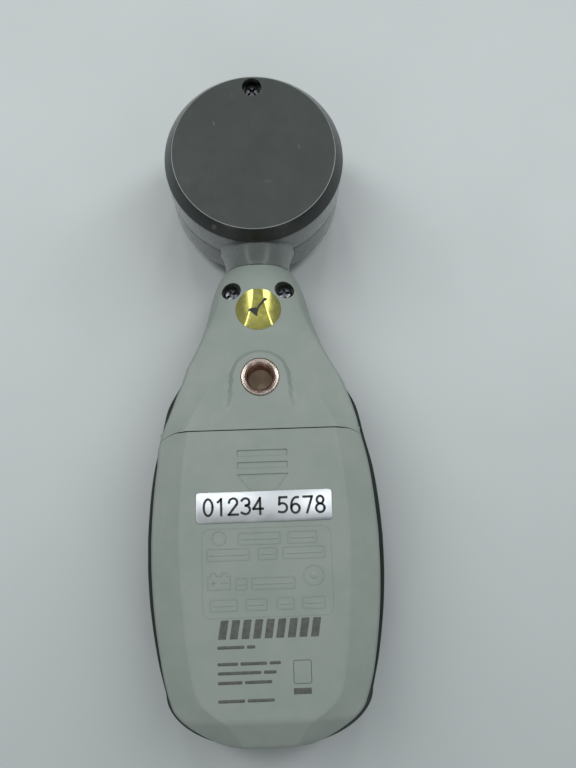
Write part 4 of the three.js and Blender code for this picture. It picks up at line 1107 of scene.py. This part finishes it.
snap_y = end_y + 3.2
snap = lofted("snap_connector", [
    [(x, y, z) for x, z in rounded_box(25 - 2 * e, 12 - 2 * e, 2.4 - e, 0, 20, 8)]
    for e, y in ((0.4, snap_y), (0.0, snap_y + 0.4), (0.0, snap_y + 2.0), (0.4, snap_y + 2.4))])
place(snap, "meter", "black_plastic", BLACK_PLASTIC, stands_for=["battery_snap"])
board_top = 7.7
for side, hand, look, slot in ((-1, "black", RUBBER, "rubber"), (1, "red", RED_WIRE, "red_wire")):
    path = [(side * 2.5, snap_y + 2.5, 21.5), (side * 2.8, -13.4, 21.4), (side * 3.6, -11.8, 19),
            (side * 4.2, -11.6, 14), (side * 5, -10.4, 10), (side * 5.4, -8, board_top + 0.3)]
    place(tube(f"snap_wire_{hand}", path, 0.65), "meter", slot, look, stands_for=[f"battery_lead_{hand}"])


# ---------- Head ----------
NECK_START_Y = 33.46
NECK_SIDES = [(33.4, 8.2), (35.2, 8.3), (36.6, 8.6), (37.8, 9.05), (39, 9.6), (40.2, 9.6)]
NECK_SWEEP = (33.5, 4.0, 4.2, 1.3)  # y of the start, length, rise and power of the curve


def neck_rise(y):
    """Height of the top of the neck above the axis, which sweeps up to the chamfer."""
    start, run, rise, power = NECK_SWEEP
    return NECK_R + rise * min(max((y - start) / run, 0.0), 1.0) ** power


def build_neck():
    rings = [[(u, 30.5, AXIS_Z + v) for u, v in circle(6.3, sides=200)]]
    rings += [[(u, NECK_START_Y, AXIS_Z + v) for u, v in circle(r, sides=200)] for r in (6.3, NECK_R - 0.1)]
    for y in np.concatenate([[NECK_START_Y + 0.1], np.linspace(33.8, 40.2, 48)]):
        wide, rise = through(NECK_SIDES, float(y)), neck_rise(float(y))
        rings.append([(wide * u, float(y), AXIS_Z + (rise if v > 0 else wide) * v)
                      for u, v in circle(1.0, sides=200)])
    return lofted("neck", rings)


def build_head_cover():
    outer = soften([(0.02, DISC_Z), (DISC_R, DISC_Z), (HEAD_R, CHAMFER_Z), (HEAD_R, HEAD_SPLIT_Z + 0.12),
                    (HEAD_R - WALL, HEAD_SPLIT_Z + 0.12)], 0.28, 5, closed=False)
    inner = [(HEAD_R - WALL, CHAMFER_Z - 0.7), (DISC_R - 1.2, DISC_Z - WALL), (0.02, DISC_Z - WALL)]
    cup = turned("head_cover", outer + inner, sides=256)
    carved(cup, [build_neck()], "UNION")
    bore = turned("hole", [(20.69, HEAD_SPLIT_Z), (20.69, 27.6)], sides=128)
    carved(cup, [turned("hole", [(WELL_R, 25), (WELL_R, 36)], 0, HEAD_SCREW_Y, 72)], crease=COVER_CREASE)
    carved(cup, [bore], crease=COVER_CREASE)
    return cup


head_cover = build_head_cover()


def head_zone(point, normal):
    from_axis = math.hypot(point.x, point.y - HEAD_Y)
    if normal.z > 0.985 and point.z > DISC_Z - 0.4 and from_axis < DISC_R + 0.2:
        return 0
    # Zone 4, the rounded rim of the disc, carries a painted edge highlight.
    if normal.z > 0.8 and point.z > DISC_Z - 0.3:
        return 4
    # Zone 3, the neck, is painted lighter as painted light.
    if point.y < 41 and abs(point.x) < 11.5 and from_axis > HEAD_R + 0.02:
        return 3
    # Zone 1, the chamfer, is painted darker as painted shade.
    # Zone 2, the wall, is painted lighter as painted light.
    return 1 if point.z > CHAMFER_Z - 0.25 else 2


place(head_cover, "head", "head_grey_abs", HEAD_DISC, HEAD_GLOSS_PAINTED_DARK, HEAD_WALL_PAINTED_LIGHT, HEAD_NECK_PAINTED_LIGHT, HEAD_EDGE_HIGHLIGHT,
      stands_for=["head_rear_shell"])
paint_by_place(head_cover, head_zone)
well = screw_well("head_well", 0, HEAD_SCREW_Y, lambda x, y: DISC_Z - 1.0, 28.2, 18.6, 3.1)
place(well, "head", "head_grey_abs", HEAD_WALL_PAINTED_LIGHT)


def build_head_bezel():
    profile = soften([(11.5, HEAD_FACE_Z), (HEAD_R - 1.1, HEAD_FACE_Z), (HEAD_R, 6.3),
                      (HEAD_R, HEAD_SPLIT_Z - 0.12),
                      (HEAD_R - WALL, HEAD_SPLIT_Z - 0.12), (HEAD_R - WALL, 6.8), (11.5, 6.8)], 0.3, 4)
    bezel = turned("head_bezel", profile, sides=256, wrap=True)
    room = turned_on_axis("room", [(8.5, 32), (8.5, 35.4), (8.75, 36.6), (9.2, 37.8), (9.8, 39), (9.8, 41.5)])
    return carved(bezel, [room], crease=COVER_CREASE)


place(build_head_bezel(), "head", "head_grey_abs", HEAD_WALL_PAINTED_LIGHT, stands_for=["head_front_shell"])


def build_dome():
    base_r, base_z, thick = 11.2, 7.1, 1.2
    ball = (base_r ** 2 + base_z ** 2) / (2 * base_z)
    def arc(radius, limit, count):
        reach = [limit * i / count for i in range(count + 1)]
        return [(r, ball - math.sqrt(radius ** 2 - r ** 2)) for r in reach]

    outside = arc(ball, base_r, 40)[1:]
    inside = arc(ball - thick, 9.0, 30)[::-1][:-1]
    rim = soften([(base_r, base_z), (13.5, base_z), (13.5, base_z + thick), (9.6, base_z + thick)], 0.2, 3,
                 closed=False)
    return turned("dome_cap", outside + rim[1:] + inside, sides=160)


place(build_dome(), "head", "white_diffuser", DOME_WHITE, stands_for=["diffuser_dome"])


# ---------- Display and keys ----------
window = slab("window_pane", rounded_box(35.4, 21.4, 1.3, 0, -27, 8), 0.4, 1.6, 0.2, 3)
place(window, "meter", "clear_plastic", CLEAR, stands_for=["lcd_window"])
DISPLAY_PRINT = (2.08, 2.16)
glass = slab("display_glass", rounded_box(36, 23, 0.4, 0, -27, 4), 2.1, 3.9, 0.1, 2)
place(glass, "meter", "lcd", LCD_GREEN, stands_for=["lcd_panel"])
strokes = seven_strokes("0352", 11.4, -27.4, 4.6, 9.6, 7.6, 1.0, *DISPLAY_PRINT, mirror=-1)
strokes.append(slab("point", circle(0.6, -7.6, -32.4, 20), *DISPLAY_PRINT, 0.004, 1))
for k in range(4):
    strokes.append(slab("mark", rounded_box(2.4, 0.8, 0.2, 12 - 5 * k, -18.7, 2), *DISPLAY_PRINT, 0.004, 1))
place(joined("display_digits", strokes), "meter", "lcd", FOIL_INK)


def icon_parts(name, x, y):
    low, high = 0.21, 0.29
    if name == "power":
        angles = np.linspace(0.6, 2 * math.pi - 0.6, 30)
        stroke = slab("i", rounded_box(0.4, 1.7, 0.1, x, y + 1.3, 2), low, high, 0.01, 1)
        arc = [(x + 1.6 * math.sin(a), y + 1.6 * math.cos(a)) for a in angles]
        return ribbon(arc, 0.2, low, high) + [stroke]
    if name == "hold":
        return [slab("i", rounded_box(0.7, 3, 0.15, x + dx, y, 2), low, high, 0.01, 1) for dx in (-0.8, 0.8)]
    if name == "range":
        up = [(x - 1.4, y + 0.4), (x + 1.4, y + 0.4), (x, y + 2.2)]
        down = [(x - 1.4, y - 0.4), (x, y - 2.2), (x + 1.4, y - 0.4)]
        return [slab("i", tri, low, high, 0.01, 1) for tri in (up, down)]
    return [raised_line("i", circle(1.7, x, y, 40), 0.4, low, high),
            slab("i", circle(0.6, x, y, 24), low, high, 0.01, 1)]


for name, (x, y) in KEYS.items():
    rims = [math.radians(90 * k / 4) for k in range(5)]
    face = ellipse(6.6, 4.2, x, y)
    rings = [level(inset(face, 0.6 * (1 - math.sin(a))), 0.25 + 0.6 * (1 - math.cos(a))) for a in rims]
    skirt = ellipse(7.4, 5.0, x, y)
    rings += [level(face, 2.3), level(skirt, 2.3), level(skirt, 3.0), level(circle(1.6, x, y, 64), 3.0),
              level(circle(1.5, x, y, 64), 4.0)]
    cap = lofted(f"keycap_{name}", rings)
    place(cap, f"key_{name}", "key_rubber", KEY_GREY, stands_for=[f"key_{name}"])
    place(joined(f"key_icon_{name}", icon_parts(name, x, y)), f"key_{name}", "key_rubber", WHITE_PLASTIC)

# ---------- Finishes of the inner pieces that stay as packed ----------
KEPT = [
    (RUBBER, "swivel_o_ring sensor_lead_head sensor_lead_body contact_strip_lower contact_strip_upper"),
    (BLACK_PLASTIC, "dome_retainer filter_holder lcd_frame measuring_chip"),
    (GREEN_BOARD, "sensor_board main_board"), (FILTER_GREEN, "correction_filter"),
    (SILICON, "photodiode"), (CAN_SLEEVE, "filter_capacitor"), (BLUE_PART, "range_trimmer"),
    (WHITE_PLASTIC, "lead_connector"), (BRIGHT_STEEL, "reference_crystal"),
    (BRIGHT_STEEL, "sensor_board_screw_left sensor_board_screw_right"),
    (BRIGHT_STEEL, "board_screw_1 board_screw_2 board_screw_3"),
    (BRIGHT_STEEL, "snap_dome_power snap_dome_hold snap_dome_range snap_dome_units"),
]
for look, names in KEPT:
    for name in names.split():
        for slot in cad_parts[name].material_slots:
            slot.material = look


# ---------- Floor, light and camera ----------
def build_floor():
    half, steps = 900.0, 60
    row = steps + 1
    points = [(-half + 2 * half * i / steps, -half + 2 * half * j / steps, -0.02)
              for i in range(row) for j in range(row)]
    faces = [(k, k + row, k + row + 1, k + 1) for i in range(steps) for k in range(i * row, i * row + steps)]
    floor = link("floor", points, faces)
    look = Finish("pale table with painted falloff", (191, 197, 197), (188, 194, 194), 0.6, grain=0.6, relief=0.002, patch=60,
                  scuff=0.0)
    # Painted shade: the table colour darkens towards -Y, standing in for the falloff of the light.
    apart = look.add("ShaderNodeSeparateXYZ", Vector=look.place)
    shade = look.add("ShaderNodeMix", data_type="RGBA", B=srgb(170, 177, 177))
    look.wire(look.spread(apart.outputs["Y"], 1.0, 0.0, -0.13, 0.03), shade.inputs["Factor"])
    look.wire(look.color, shade.inputs["A"])
    look.wire(shade.outputs["Result"], look.shader.inputs["Base Color"])
    floor.data.materials.append(look.material)
    return floor


build_floor()


def softbox(name, location, target, size, power, color=(1, 1, 1)):
    data = bpy.data.lights.new(name, "AREA")
    data.shape = "RECTANGLE"
    data.size, data.size_y = size
    data.energy = power
    data.color = color
    lamp = bpy.data.objects.new(name, data)
    lamp.location = location
    lamp.rotation_euler = (Vector(target) - Vector(location)).to_track_quat("-Z", "Y").to_euler()
    bpy.context.scene.collection.objects.link(lamp)


CEILING_WATTS, BACK_WATTS, FRONT_WATTS = 3.48, 1.1, 1.0
softbox("ceiling_left", (-0.42, 0.3, 0.75), (0, 0, 0), (0.2, 0.9), CEILING_WATTS)
softbox("ceiling_right", (0.46, 0.3, 0.75), (0, 0, 0), (0.2, 0.9), CEILING_WATTS, (0.98, 0.99, 1))
for side, hand in ((-1, "left"), (1, "right")):
    softbox(f"back_{hand}", (side * 0.2, 0.9, 0.8), (0, 0.06, 0), (0.15, 0.6), BACK_WATTS)
    softbox(f"front_{hand}", (side * 0.48, -0.9, 0.6), (0, 0.03, 0.02), (0.14, 1.2), FRONT_WATTS)

world = bpy.data.worlds.new("studio")
world.use_nodes = True
world.node_tree.nodes["Background"].inputs["Color"].default_value = (0.93, 0.98, 1.0, 1)
world.node_tree.nodes["Background"].inputs["Strength"].default_value = 0.24
bpy.context.scene.world = world
bpy.context.scene.view_settings.view_transform = "Standard"

camera_data = bpy.data.cameras.new("camera")
camera_data.sensor_fit = "AUTO"
camera_data.sensor_width = 36.0
camera_data.lens = 37.4972
camera_data.clip_start = 0.01
camera = bpy.data.objects.new("camera", camera_data)
camera.location = (0.00283, -0.03528, 0.2154)
camera.rotation_euler = Euler([math.radians(a) for a in (11.205, -0.754, -2.001)], "XYZ")
bpy.context.scene.collection.objects.link(camera)
bpy.context.scene.camera = camera
